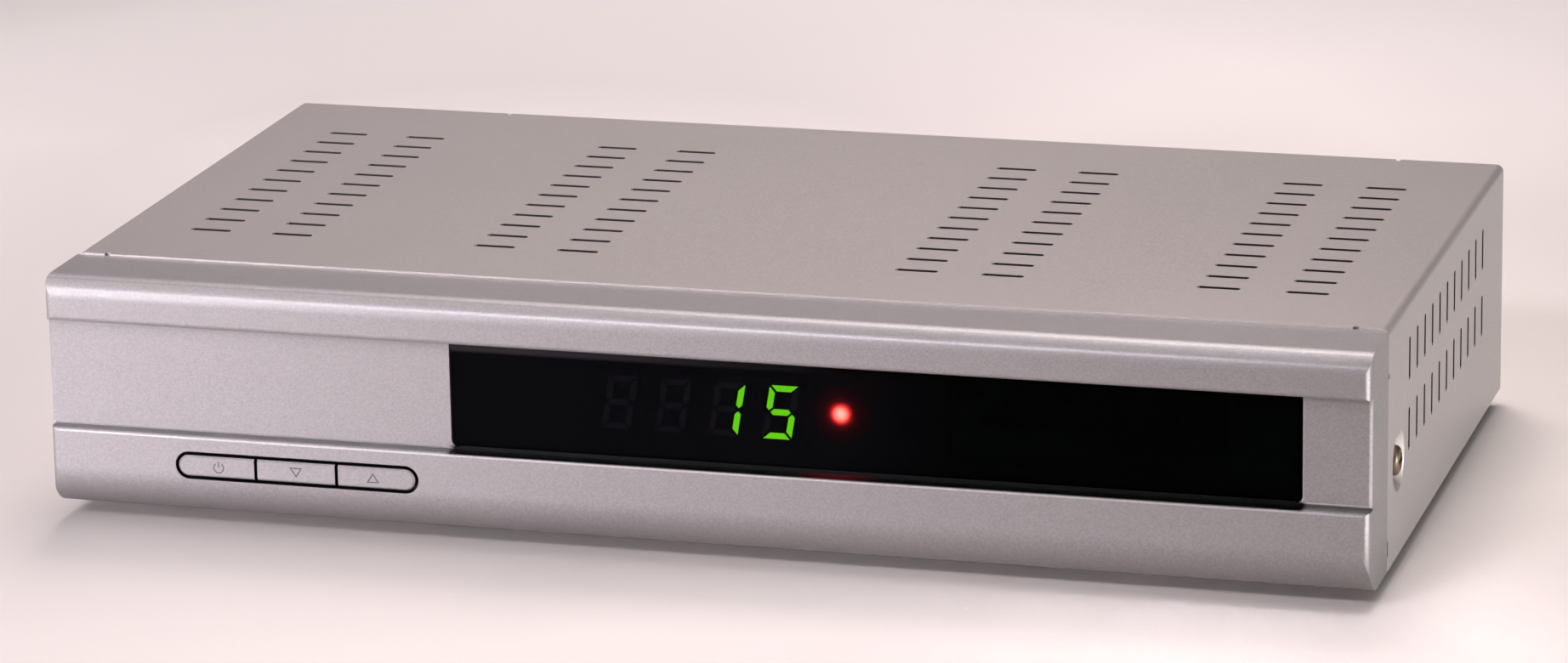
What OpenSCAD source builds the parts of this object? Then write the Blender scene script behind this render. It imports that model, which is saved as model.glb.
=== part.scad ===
// Digital television receiver: a low sheet-metal case behind a banded front moulding.
// Millimetres, +Z up, +X to the viewer's right, +Y to the back.
// The origin is on the standing surface, under the middle of the case and its rear sockets.

/* [Case] */
// Width across the cover and the bezel
case_w = 250; // [230:1:300]
// Height of the case without its feet
case_h = 45.4; // [44:0.1:60]
// Depth of the sheet-metal cover, from the bezel to its rear edge
cover_d = 121.5; // [118:0.5:180]
// Thickness of the cover and tray sheet
sheet_t = 0.8; // [0.6:0.1:1.2]
// Outer radius of the sheet's bends
bend_r = 1.4; // [1.3:0.1:3]
// Gap between pieces that are fastened together
seat_gap = 0.1; // [0.05:0.01:0.2]
// Height of a foot below the case
foot_h = 3; // [2:0.5:8]
// Diameter of a foot
foot_dia = 14; // [10:0.5:20]
// Inset of a foot's centre from the sides, and from the tray's ends
foot_inset = 20; // [18:1:30]

/* [Cover vents] */
// Length of a vent slot
slot_l = 8.2; // [5:0.1:12]
// Width of a vent slot
slot_w = 1.4; // [0.8:0.1:2.5]
// Slots in a column
slot_count = 11; // [5:1:12]
// Distance from slot to slot
slot_pitch = 7.75; // [5:0.05:8.5]
// First slot, behind the cover's front edge
slot_start = 20.8; // [16:0.1:26]
// Middle of an outer pair of columns, from the centre line
vent_outer_x = 97.9; // [85:0.1:105]
// Middle of an inner pair of columns, from the centre line
vent_inner_x = 41; // [25:0.1:60]
// Distance between the two columns of a pair
vent_pair = 16.4; // [12:0.1:20]
// Middle of the upper row of side slots, below the top
side_row_1 = 11.1; // [8:0.1:12]
// Middle of the lower row of side slots, below the top
side_row_2 = 24.4; // [22:0.1:28]

/* [Cover fixings] */
// Diameter of the round dish pressed in each side
dish_dia = 11.5; // [9:0.1:14]
// Diameter of the dish's flat floor
dish_floor_dia = 8; // [6.5:0.1:8.5]
// Depth of the dish
dish_depth = 1.2; // [0.8:0.1:1.8]
// Dish centre, behind the cover's front edge
dish_y = 10.4; // [9:0.1:12]
// Dish centre, below the top
dish_drop = 27.4; // [22:0.1:32]
// Thread diameter of the case and board screws
screw_dia = 2.9; // [2.5:0.1:3.2]
// Head diameter of the case and board screws
screw_head_dia = 5.6; // [4.5:0.1:6]
// Height of a screw head
screw_head_h = 1.6; // [1.4:0.1:2.4]
// Length of a case or board screw under its head
screw_l = 5; // [4:0.1:5.5]
// Height of the cover's lip over the rear wall
rear_lip_h = 7; // [6:0.1:9]
// Left end of the rear lip, from the centre line
rear_lip_left = 79; // [60:1:100]
// Right end of the rear lip, from the centre line
rear_lip_right = 103.7; // [60:0.1:110]
// Width of the relief notches at the cover's edges
notch_w = 1; // [0.6:0.1:1.5]
// Depth of those notches
notch_d = 0.8; // [0.5:0.1:1.5]

/* [Bezel] */
// Depth of the front moulding
bezel_d = 17.2; // [16.5:0.1:22]
// Wall of the front moulding
bezel_wall = 2.2; // [1.8:0.1:2.4]
// Step from the cover's top down to the bezel's top
bezel_drop = 0.35; // [0.2:0.05:0.6]
// Height of the upper band
upper_band_h = 8.25; // [7.5:0.05:10]
// Height of the lower band
lower_band_h = 16.15; // [15.5:0.05:17]
// Height of the groove over the lower band
groove_h = 0.7; // [0.4:0.1:1.2]
// Depth of that groove behind the middle band
groove_d = 1.1; // [0.5:0.1:1.4]
// Step from the upper and lower bands back to the middle band
band_step = 1.9; // [1.2:0.1:2.2]
// Rounding of the top front edge
top_edge_r = 3.8; // [2.6:0.1:5]
// Rounding of the bottom front edge
bottom_edge_r = 8; // [5:0.1:8.2]
// Rounding of the upper band's lower edge
band_edge_r = 0.9; // [0.3:0.1:1.5]
// Rounding of the lower band's upper edge
ledge_r = 0.7; // [0.3:0.1:1.2]
// Rounding of the vertical front edges
end_edge_r = 1.4; // [0.5:0.1:1.8]
// Length of the tongue that the cover slips over
tongue_l = 2.5; // [1.5:0.1:4]
// Thickness of that tongue
tongue_t = 1.4; // [1:0.1:1.8]
// Gap between the tongue and the cover
tongue_gap = 0.15; // [0.1:0.05:0.3]
// Radius of a screw boss in the moulding
boss_r = 3; // [2.4:0.1:3.4]
// Thickness of the moulding's inner ribs
rib_t = 1.2; // [0.8:0.1:1.6]

/* [Window] */
// Width of the window opening
window_w = 159; // [150:0.5:164]
// Inset of the window's right edge from the case's right end
window_in = 12.4; // [11.5:0.1:15]
// Gap round the window's edge
window_gap = 0.15; // [0.1:0.01:0.3]
// Width of the flange behind the opening's edge
window_flange = 1.6; // [1:0.1:2]
// Thickness of that flange
window_flange_t = 1.2; // [0.8:0.1:1.6]
// Bevel round the window's front face
window_bevel = 0.7; // [0.3:0.1:1.2]
// Rounding of the window's lower corners
window_corner_r = 1.3; // [0.8:0.1:2]

/* [Keys] */
// Width of the pill-shaped key opening
pill_w = 47.6; // [40:0.1:56]
// Height of that opening
pill_h = 5.15; // [4.5:0.05:6]
// Middle of the keys, from the case's left end
keys_in = 48.7; // [41:0.1:51]
// Middle of the keys, above the case's underside
keys_z = 10.45; // [10:0.05:11]
// Gap round the keys and between them
key_gap = 0.5; // [0.4:0.05:0.6]
// How far the key faces stand out of the band
key_proud = 0.3; // [0.1:0.1:0.8]
// Bevel round the key faces
key_bevel = 0.4; // [0.2:0.1:0.6]
// Thickness of the flange that keeps a key in
key_flange_t = 1; // [0.8:0.1:1.4]
// Reach of that flange beyond the key's face
key_flange = 0.9; // [0.7:0.1:1.2]
// Travel of a key
key_travel = 0.5; // [0.25:0.05:0.6]

/* [Front board] */
// Thickness of every circuit board
board_t = 1.6; // [1.2:0.2:2]
// Front face of the board, ahead of the cover's front edge
front_board_ahead = 3.4; // [3.2:0.1:4]
// Left edge of the front board, from the case's left end
front_board_in = 19; // [17:1:21]
// Right edge of the front board, from the centre line
front_board_right = 45; // [44:1:50]
// Side of a key switch
switch_w = 6; // [5.5:0.1:6.5]
// Height of a key switch's body
switch_h = 3.5; // [3.1:0.1:3.8]
// Diameter of a switch plunger
plunger_dia = 3.3; // [3:0.1:3.5]
// Height of a plunger above its switch
plunger_h = 1.5; // [1:0.1:2]
// Width of the LED readout
readout_w = 40.2; // [40:0.1:44]
// Height of the LED readout
readout_h = 12.8; // [12.4:0.1:14]
// Depth of the LED readout
readout_d = 7; // [6:0.1:7.2]
// Middle of the readout, below the middle of the window
readout_drop = 0.8; // [0:0.1:1.5]
// Height of a digit
digit_h = 10.16; // [9.5:0.01:10.5]
// Width of a digit
digit_w = 5.6; // [5:0.1:6.2]
// Distance from digit to digit
digit_pitch = 10.2; // [9.6:0.1:10.2]
// Stroke of a segment
segment_t = 1.15; // [0.9:0.05:1.4]
// Gap between segments
segment_gap = 0.3; // [0.2:0.05:0.4]
// Slant of the digits, in degrees
digit_slant = 10; // [0:1:12]
// Depth of the segments in the readout's face
segment_d = 0.5; // [0.3:0.1:1]
// Standby lamp, from the centre line
lamp_x = 27; // [25:0.1:30]
// Diameter of the standby lamp
lamp_dia = 3; // [2.8:0.1:3.2]
// Height of the standby lamp above its spacer
lamp_h = 5.2; // [4.5:0.1:5.4]
// Height of the spacer under the lamp
spacer_h = 2.4; // [1.5:0.1:2.6]
// Remote-control receiver, from the centre line
receiver_x = 38; // [35:0.1:40]

/* [Main board] */
// Height of the boards above the tray
standoff_h = 6; // [5.4:0.1:8]
// Gap between the main board and the power board
board_gap = 4.2; // [2:0.1:6]
// Depth of the main board
main_d = 92; // [88:1:95]
// Gap between the boards and the walls round them
board_margin = 3; // [2:0.5:4]
// Radius of a board standoff
standoff_r = 3.6; // [3.2:0.1:4]
// Distance between the two aerial sockets
aerial_pitch = 16; // [15:0.5:18]
// Radius of an aerial socket's barrel
aerial_r = 4.7; // [4.5:0.05:4.8]
// Step from an aerial socket's shoulder, or a jack's, to the part a plug goes on
shoulder = 0.2; // [0.1:0.05:0.3]
// Reach of the aerial sockets behind the cover
aerial_out = 9.5; // [8:0.5:12]
// Distance from jack to jack
jack_pitch = 14; // [13:0.1:14.4]
// Height of the jacks' axes above the board
jack_axis_h = 9; // [8:0.1:10]
// Outer radius of a jack's shell
jack_r = 4.1; // [4:0.05:4.2]
// Wall of a jack's shell
jack_shell_t = 0.5; // [0.3:0.05:0.7]
// Reach of a jack's shell behind the rear wall
jack_out = 9; // [7:0.1:10]
// Outer radius of a jack's coloured collar
collar_r = 5.2; // [5:0.1:5.6]

/* [Power board] */
// Width of the power board
power_w = 58; // [56:1:60]
// Middle of the mains inlet, from the board's left edge
inlet_in = 20; // [16:0.5:24]
// Distance between the inlet's pins
inlet_pitch = 8.6; // [8:0.1:9]
// Radius of the inlet's recess round a pin
inlet_r = 3.6; // [3.4:0.1:3.8]
// Depth of the inlet's recess
inlet_depth = 11; // [9:0.5:12]
// Diameter of an inlet pin
inlet_pin_dia = 2.4; // [2.2:0.1:2.6]

/* [Hidden] */
$fn = 48;
eps = 0.01;

// Levels
z_bot = foot_h;
z_top = z_bot + case_h;
z_floor = z_bot + sheet_t;
z_board = z_floor + standoff_h;
z_parts = z_board + board_t;
z_roof = z_top - sheet_t;

// Depths: the bezel's front, the seam, the cover's rear edge and the tray's rear wall
total_d = key_proud + bezel_d + cover_d + aerial_out;
y_front = key_proud - total_d / 2;
y_seam = y_front + bezel_d;
y_back = y_seam + cover_d;
y_wall = y_back - sheet_t - seat_gap;
y_wall_in = y_wall - sheet_t;

// Bezel bands
z_bezel_top = z_top - bezel_drop;
z_ledge = z_bot + lower_band_h;
z_mid_bot = z_ledge + groove_h;
z_mid_top = z_bezel_top - upper_band_h;
y_mid = y_front + band_step;
y_mid_in = y_mid + bezel_wall;
y_band_in = y_front + bezel_wall;

// Tray: its side flanges meet the floors of the cover's dishes
tray_half = case_w / 2 - sheet_t - dish_depth - seat_gap;
tray_flange_h = 12;
tray_front_h = 14;
tray_ear_w = 14;
tongue_half = case_w / 2 - sheet_t - tongue_gap;
front_wall_half = tongue_half - tongue_t - 0.3;
y_flange = y_seam + tongue_l + 0.3;
screw_hole_r = screw_dia / 2 + 0.1;
foot_stem_r = 2.4;
foot_y = [y_flange + foot_inset, y_wall - foot_inset];
feet = [for (sx = [-1, 1], y = foot_y) [sx * (tray_half - foot_inset), y]];

// Screws that hold the bezel to the tray, and the front board to the bezel
tap_r = 1.1;
tap_head_r = 2.4;
tap_head_h = 1.6;
tap_l = 7;
bezel_boss_x = case_w / 2 - bezel_wall - boss_r - 1.4;
bezel_bosses = [for (sx = [-1, 1], z = [z_bot + 8, z_mid_top - 3.8]) [sx * bezel_boss_x, z]];

// Window and front board
window_x = case_w / 2 - window_in - window_w / 2;
front_board_left = case_w / 2 - front_board_in;
window_z = (z_mid_bot + z_mid_top) / 2;
readout_z = window_z - readout_drop;
lamp_z = window_z;
y_front_board = y_seam - front_board_ahead;
z_front_board_0 = z_bot + 5.5;
z_front_board_1 = z_mid_top - 2.8;
front_post_r = 2.6;
window_left = window_x - window_w / 2;
posts_high = [for (x = [-front_board_left + 4.5, window_left - window_flange - 7]) [x, z_front_board_1 - 4]];
posts_low = [for (x = [-20, front_board_right - 4.5]) [x, z_front_board_0 + 3.4]];
front_posts = concat(posts_high, posts_low);

// Keys
keys_x = -case_w / 2 + keys_in;
key_z = z_bot + keys_z;
key_step = pill_w / 3;
y_key = y_front - key_proud;
y_key_flange = y_band_in + seat_gap;
y_switch = y_front_board - switch_h;
y_plunger = y_switch - plunger_h;
plunger_clear = 0.3;

// Power board layout: each part's place from the board's left edge and from its rear edge
choke_in = 16;
choke_back = 32;
bridge_in = 44;
bridge_back = 34;
lead_back = 46;
bulk_in = 14;
bulk_back = 54;
bulk_dia = 18;
bulk_h = 30;
transformer_in = 38;
transformer_back = 60;
sink_in = 20;
sink_back = 74;
output_back = 87;
output_pitch = 12;
output_dia = 10;
output_h = 20;
power_front = 13;

// Boards: the power board is as deep as its parts need, and the main board takes the width that is left
tray_in = tray_half - sheet_t;
power_d = output_back + power_front;
main_w = 2 * (tray_in - board_margin) - power_w - board_gap;
main_x1 = tray_in - board_margin;
main_x0 = main_x1 - main_w;
main_y1 = y_wall_in - 1;
main_y0 = main_y1 - main_d;
power_x0 = -tray_in + board_margin;
power_x1 = power_x0 + power_w;
power_y1 = main_y1;
power_y0 = power_y1 - power_d;
tuner_w = 40;
tuner_d = 46;
tuner_h = 15;
tuner_lid = 0.4;
y_tuner = y_wall_in - 1.2;
main_hole_y = [main_y0 + 5, y_tuner - tuner_d - 5.8];
main_holes = [for (x = [main_x0 + 6, (main_x0 + main_x1) / 2, main_x1 - 6], y = main_hole_y) [x, y]];
power_holes = [for (x = [power_x0 + 7, power_x1 - 7], y = [power_y0 + 7, power_y1 - 20]) [x, y]];

board_holes = concat(main_holes, power_holes);
standoff_stem_r = standoff_r - 1;
stem_fit = 0.05;

// Rear connectors, spread along the main board with equal gaps, from its right edge to its left
jack_block_w = 3 * jack_pitch - 0.6;
serial_flange_w = 30.8;
tuner_all_w = tuner_w + 2 * tuner_lid;
rear_gap = (main_w - tuner_all_w - 2 * jack_block_w - serial_flange_w) / 5;
tuner_x = main_x1 - rear_gap - tuner_all_w / 2;
av_mid_x = tuner_x - tuner_all_w / 2 - rear_gap - jack_block_w / 2;
component_mid_x = av_mid_x - jack_block_w - rear_gap;
serial_x = component_mid_x - jack_block_w / 2 - rear_gap - serial_flange_w / 2;
aerial_x = [for (s = [-1, 1]) tuner_x + s * aerial_pitch / 2];
aerial_z = z_parts + tuner_h / 2;
jack_z = z_parts + jack_axis_h;
av_x = [for (i = [-1, 0, 1]) av_mid_x - i * jack_pitch];
component_x = [for (i = [-1, 0, 1]) component_mid_x - i * jack_pitch];
collar_gap = 0.3;
collar_out = 1.6;
jack_core_r = jack_r - jack_shell_t - 0.1;
serial_z = z_parts + 6.6;
serial_post_x = 12.5;
serial_w = 16.4;
serial_h = 8;
serial_slope = 0.9;
serial_cut = 2;
serial_shell_t = 0.5;
inlet_x = power_x0 + inlet_in;
inlet_z = z_parts + 7.2;
inlet_w = inlet_pitch + 2 * inlet_r + 3.2;
inlet_h = 2 * inlet_r + 4;
inlet_out = 1;
y_inlet = y_wall + inlet_out;

// Cables between the boards
ribbon_t = 1.2;
ribbon_w = 14;
ribbon_bend = 5;
header_w = 17;
header_d = 6;
header_h = 8;
front_header_z = z_front_board_0 + 16;
main_header_y = main_y0 + 8;
front_cable_in = 27;
front_cable_x = main_x0 + front_cable_in;
lead_y = power_y1 - lead_back;
lead_x0 = power_x1 - 7;
lead_x1 = main_x0 + 14;
lead_rise = 4;

// Extrusions of outlines drawn in the X-Z, Y-Z and X-Y planes
module xz_extrude(y0, y1) {
    translate([0, y1, 0]) rotate([90, 0, 0]) linear_extrude(height = y1 - y0) children();
}
module yz_extrude(x0, x1) {
    translate([x0, 0, 0]) rotate([90, 0, 90]) linear_extrude(height = x1 - x0) children();
}
module xy_extrude(z0, z1) {
    translate([0, 0, z0]) linear_extrude(height = z1 - z0) children();
}
module block(x0, x1, y0, y1, z0, z1) {
    translate([x0, y0, z0]) cube([x1 - x0, y1 - y0, z1 - z0]);
}
// A round bar along Y, and one along X
module y_bar(x, z, y0, y1, r, r_end = undef) {
    translate([x, y0, z]) rotate([-90, 0, 0])
        cylinder(h = y1 - y0, r1 = r, r2 = is_undef(r_end) ? r : r_end);
}
module x_bar(y, z, x0, x1, r, r_end = undef) {
    translate([x0, y, z]) rotate([0, 90, 0])
        cylinder(h = x1 - x0, r1 = r, r2 = is_undef(r_end) ? r : r_end);
}

// What a rounding takes off the corner at the origin, the material lying towards +X +Y
module corner_waste(r) {
    difference() {
        translate([-1, -1]) square(r + 1);
        translate([r, r]) circle(r);
    }
}
// A rectangle with a radius for each corner: lower left, lower right, upper right, upper left
module rounded(x0, y0, x1, y1, ll = 0, lr = 0, ur = 0, ul = 0) {
    difference() {
        translate([x0, y0]) square([x1 - x0, y1 - y0]);
        if (ll > 0) translate([x0, y0]) corner_waste(ll);
        if (lr > 0) translate([x1, y0]) mirror([1, 0]) corner_waste(lr);
        if (ur > 0) translate([x1, y1]) rotate(180) corner_waste(ur);
        if (ul > 0) translate([x0, y1]) mirror([0, 1]) corner_waste(ul);
    }
}
// A slot with round ends, centred, its length along X
module stadium(l, w) {
    square([l - w, w], center = true);
    for (s = [-1, 1]) translate([s * (l - w) / 2, 0]) circle(d = w);
}
// A sheet bent into a channel, open upwards
module channel(half, z0, z1) {
    difference() {
        rounded(-half, z0, half, z1, ll = bend_r, lr = bend_r);
        rounded(-half + sheet_t, z0 + sheet_t, half - sheet_t, z1 + 1,
            ll = bend_r - sheet_t, lr = bend_r - sheet_t);
    }
}

// A pan-head screw standing on the origin, its shank along -Z, with a cross recess
module pan_screw(r, l, head_r, head_h) {
    recess_l = head_r * 1.1;
    recess_w = head_r * 0.28;
    difference() {
        union() {
            rotate_extrude() rounded(0, 0, head_r, head_h, ur = head_h * 0.7);
            translate([0, 0, -l]) cylinder(h = l + eps, r = r);
        }
        for (a = [0, 90]) rotate(a) translate([-recess_l / 2, -recess_w / 2, head_h * 0.35])
            cube([recess_l, recess_w, head_h]);
    }
}
// An electrolytic capacitor standing on the origin: a can with a rolled groove and a turned-in rim
module can_capacitor(d, h) {
    groove = d * 0.06;
    rotate_extrude() difference() {
        rounded(0, 0, d / 2, h, ur = d * 0.08);
        translate([d / 2 + groove * 0.4, h * 0.14]) circle(groove);
        translate([-1, h - 0.3]) square([d * 0.4 + 1, 1]);
    }
}
// A flat chip with a row of leads along two sides and a dimple at its first lead
module flat_chip(w, d, h, leads) {
    lead_w = w / leads * 0.45;
    difference() {
        translate([-w / 2, -d / 2, 0.1]) cube([w, d, h - 0.1]);
        translate([-w / 2 + 1.5, -d / 2 + 1.5, h - 0.2]) cylinder(h = 1, r = 0.6);
    }
    for (i = [0 : leads - 1], s = [-1, 1])
        translate([-w / 2 + (i + 0.5) * w / leads - lead_w / 2, s * (d / 2 + 0.4) - 0.6, 0])
            cube([lead_w, 1.2, h * 0.4]);
}

// Cover
function slot_y(i) = y_seam + slot_start + i * slot_pitch;
module slot_cut(l) {
    linear_extrude(height = 4 * sheet_t, center = true) stadium(l, slot_w);
}
module top_vents() {
    for (sx = [-1, 1], mid = [vent_inner_x, vent_outer_x], sp = [-1, 1], i = [0 : slot_count - 1])
        translate([sx * (mid + sp * vent_pair / 2), slot_y(i), z_top - sheet_t / 2]) slot_cut(slot_l);
}
module side_vents() {
    for (sx = [-1, 1], drop = [side_row_1, side_row_2], i = [0 : slot_count - 1])
        translate([sx * (case_w - sheet_t) / 2, slot_y(i), z_top - drop]) rotate([0, 90, 0]) slot_cut(slot_l);
}
// The pressed dish on the right side: its hollow, and the metal that it pushes in
module dish_hollow(grow) {
    x_out = case_w / 2;
    x_bar(y_seam + dish_y, z_top - dish_drop, x_out - dish_depth - grow, x_out - grow + eps,
        dish_floor_dia / 2 + grow * 0.4, dish_dia / 2 + grow * 0.4);
}
module cover_notches() {
    notch_in = 6;
    for (sx = [-1, 1]) {
        translate([sx * (case_w / 2 - notch_in), y_seam, z_roof])
            cube([notch_w, 2 * notch_d, 4 * sheet_t], center = true);
        for (cut = [[8.8, notch_w], [41.1, 2.9 * notch_w]])
            translate([sx * case_w / 2, y_seam, z_top - cut[0]])
                cube([4 * sheet_t, 2 * notch_d, cut[1]], center = true);
    }
    for (x = [-rear_lip_left - notch_w / 2, rear_lip_right + notch_w / 2])
        translate([x, y_back, z_roof]) cube([notch_w, 3 * notch_d, 4 * sheet_t], center = true);
}
function rear_screw_x() = [for (t = [0.1, 0.5, 0.9]) -rear_lip_left + t * (rear_lip_left + rear_lip_right)];
rear_screw_z = z_roof - rear_lip_h / 2;
module top_cover() {
    color("silver") difference() {
        union() {
            xz_extrude(y_seam, y_back) translate([0, z_top + z_bot]) mirror([0, 1])
                channel(case_w / 2, z_bot, z_top);
            block(-rear_lip_left, rear_lip_right, y_back - sheet_t, y_back,
                z_roof - rear_lip_h, z_roof + eps);
            for (s = [0, 1]) mirror([s, 0, 0]) dish_hollow(sheet_t);
        }
        for (s = [0, 1]) mirror([s, 0, 0]) {
            dish_hollow(0);
            x_bar(y_seam + dish_y, z_top - dish_drop, case_w / 2 - 5, case_w / 2, screw_hole_r);
        }
        for (x = rear_screw_x()) y_bar(x, rear_screw_z, y_back - 2 * sheet_t, y_back + 1, screw_hole_r);
        top_vents();
        side_vents();
        cover_notches();
    }
}

// Tray
function d_outline(w, h, grow) =
    let (a = w / 2 + grow, b = h / 2 + grow, c = serial_cut, s = serial_slope)
    [[-a + c, b], [-a, b - c], [-a + s, -b + c], [-a + s + c, -b],
     [a - s - c, -b], [a - s, -b + c], [a, b - c], [a - c, b]];
module rear_openings() {
    y0 = y_wall - 2 * sheet_t;
    y1 = y_wall + 1;
    for (x = aerial_x) y_bar(x, aerial_z, y0, y1, aerial_r + shoulder + 0.3);
    for (x = concat(av_x, component_x)) y_bar(x, jack_z, y0, y1, collar_r + collar_gap);
    xz_extrude(y0, y1) translate([serial_x, serial_z]) polygon(d_outline(serial_w, serial_h, 0.4));
    for (s = [-1, 1]) y_bar(serial_x + s * serial_post_x, serial_z, y0, y1, 1.7);
    block(inlet_x - inlet_w / 2 - 0.2, inlet_x + inlet_w / 2 + 0.2, y0, y1,
        inlet_z - inlet_h / 2 - 0.2, inlet_z + inlet_h / 2 + 0.2);
    for (x = rear_screw_x()) y_bar(x, rear_screw_z, y0, y1, screw_hole_r);
}
module tray_front() {
    xz_extrude(y_seam + seat_gap, y_seam + seat_gap + sheet_t) difference() {
        union() {
            translate([-front_wall_half, z_bot]) square([2 * front_wall_half, tray_front_h]);
            for (s = [0, 1]) mirror([s, 0]) translate([front_wall_half - tray_ear_w, z_bot])
                square([tray_ear_w, z_mid_top - z_bot]);
        }
        for (b = bezel_bosses) translate(b) circle(tap_r + 0.2);
    }
}
module floor_vents() {
    for (sx = [-1, 1], i = [0 : slot_count - 1])
        translate([sx * vent_inner_x, slot_y(i), z_bot + sheet_t / 2]) slot_cut(slot_l);
}
module base_tray() {
    z_wall_top = z_roof - 0.3;
    top_flange = 7;
    ear_top = z_top - dish_drop + dish_floor_dia / 2 + 1;
    ear_y = y_seam + dish_y - tray_ear_w / 2;
    color("lightsteelblue") difference() {
        union() {
            xz_extrude(y_flange, y_wall) channel(tray_half, z_bot, z_bot + tray_flange_h);
            block(-front_wall_half, front_wall_half, y_seam + seat_gap, y_flange + eps, z_bot, z_floor);
            tray_front();
            for (s = [0, 1]) mirror([s, 0, 0]) block(tray_in, tray_half, ear_y, ear_y + tray_ear_w,
                z_bot + tray_flange_h - 1, ear_top);
            block(-tongue_half, tongue_half, y_wall_in, y_wall, z_bot, z_wall_top);
            block(-tray_half, tray_half, y_wall - top_flange, y_wall, z_wall_top - sheet_t, z_wall_top);
        }
        rear_openings();
        floor_vents();
        for (p = board_holes) translate([p[0], p[1], z_bot - 1])
            cylinder(h = sheet_t + 2, r = standoff_stem_r + stem_fit);
        for (p = feet) translate([p[0], p[1], z_bot - 1]) cylinder(h = sheet_t + 2, r = foot_stem_r + 0.1);
        for (s = [0, 1]) mirror([s, 0, 0])
            x_bar(y_seam + dish_y, z_top - dish_drop, tray_half - 2 * sheet_t, tray_half + 1, screw_hole_r);
    }
}
// Swaged pillars that carry the boards, each with a stem in the tray's floor
module board_standoffs() {
    color("lightgray") for (p = board_holes) translate([p[0], p[1], z_bot]) difference() {
        union() {
            cylinder(h = sheet_t + eps, r = standoff_stem_r);
            translate([0, 0, sheet_t]) cylinder(h = standoff_h, r = standoff_r);
        }
        translate([0, 0, -1]) cylinder(h = sheet_t + standoff_h + 2, r = screw_hole_r);
    }
}
module rubber_feet() {
    bulb_r = foot_stem_r + 0.8;
    color("dimgray") for (p = feet) translate([p[0], p[1], 0]) rotate_extrude() {
        rounded(0, 0, foot_dia / 2, foot_h, lr = foot_h * 0.35);
        translate([0, foot_h - eps]) square([foot_stem_r, sheet_t + 0.2]);
        rounded(0, foot_h + sheet_t + 0.05, bulb_r, foot_h + sheet_t + 2, ur = 1.2);
    }
}
module cover_screws() {
    dish_floor_x = case_w / 2 - dish_depth;
    color("darkkhaki") {
        for (s = [0, 1]) mirror([s, 0, 0]) translate([dish_floor_x, y_seam + dish_y, z_top - dish_drop])
            rotate([0, 90, 0]) pan_screw(screw_dia / 2, screw_l, screw_head_dia / 2, screw_head_h);
        for (x = rear_screw_x()) translate([x, y_back, rear_screw_z]) rotate([-90, 0, 0])
            pan_screw(screw_dia / 2, screw_l, screw_head_dia / 2, screw_head_h);
    }
}

// Front bezel: the banded outline, hollowed by the same outline set in by the wall
module bezel_outline() {
    rounded(y_front, z_mid_top, y_seam, z_bezel_top, ll = band_edge_r, ul = top_edge_r);
    translate([y_mid, z_mid_bot]) square([y_seam - y_mid, z_mid_top - z_mid_bot + eps]);
    translate([y_mid + groove_d, z_ledge - eps]) square([y_seam - y_mid - groove_d, groove_h + 2 * eps]);
    rounded(y_front, z_bot, y_seam, z_ledge, ll = bottom_edge_r, ul = ledge_r);
}
module bezel_hollow() {
    y_open = y_seam + 1;
    rounded(y_band_in, z_mid_top + bezel_wall, y_open, z_bezel_top - bezel_wall,
        ul = top_edge_r - bezel_wall);
    translate([y_mid_in, z_ledge - bezel_wall - eps])
        square([y_open - y_mid_in, z_mid_top - z_ledge + 2 * bezel_wall + 2 * eps]);
    rounded(y_band_in, z_bot + bezel_wall, y_open, z_ledge - bezel_wall, ll = bottom_edge_r - bezel_wall);
}
module bezel_tongue() {
    tongue_foot = 7;
    z_tongue = z_roof - tongue_gap;
    xz_extrude(y_seam - 1, y_seam + tongue_l) difference() {
        rounded(-tongue_half, z_bot + tongue_foot, tongue_half, z_tongue, ur = bend_r, ul = bend_r);
        translate([-tongue_half + tongue_t, z_bot])
            square([2 * (tongue_half - tongue_t), z_tongue - tongue_t - z_bot]);
    }
}
module key_opening() {
    xz_extrude(y_front - 1, y_band_in + eps) translate([keys_x, key_z]) stadium(pill_w, pill_h);
}
module window_opening() {
    xz_extrude(y_front - eps, y_mid_in + eps) rounded(window_left, z_mid_bot,
        window_left + window_w, z_mid_top, ll = window_corner_r, lr = window_corner_r);
}
module key_rails() {
    rail_gap = 0.3;
    rail_d = 5;
    rail_half = pill_w / 2 + key_flange + rail_gap + rib_t;
    reach = pill_h / 2 - key_gap + key_flange + rail_gap;
    xz_extrude(y_band_in - 0.5, y_band_in + rail_d) translate([keys_x, key_z]) difference() {
        square([2 * rail_half, 2 * (reach + rib_t)], center = true);
        square([2 * (rail_half - rib_t), 2 * reach], center = true);
    }
}
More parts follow.
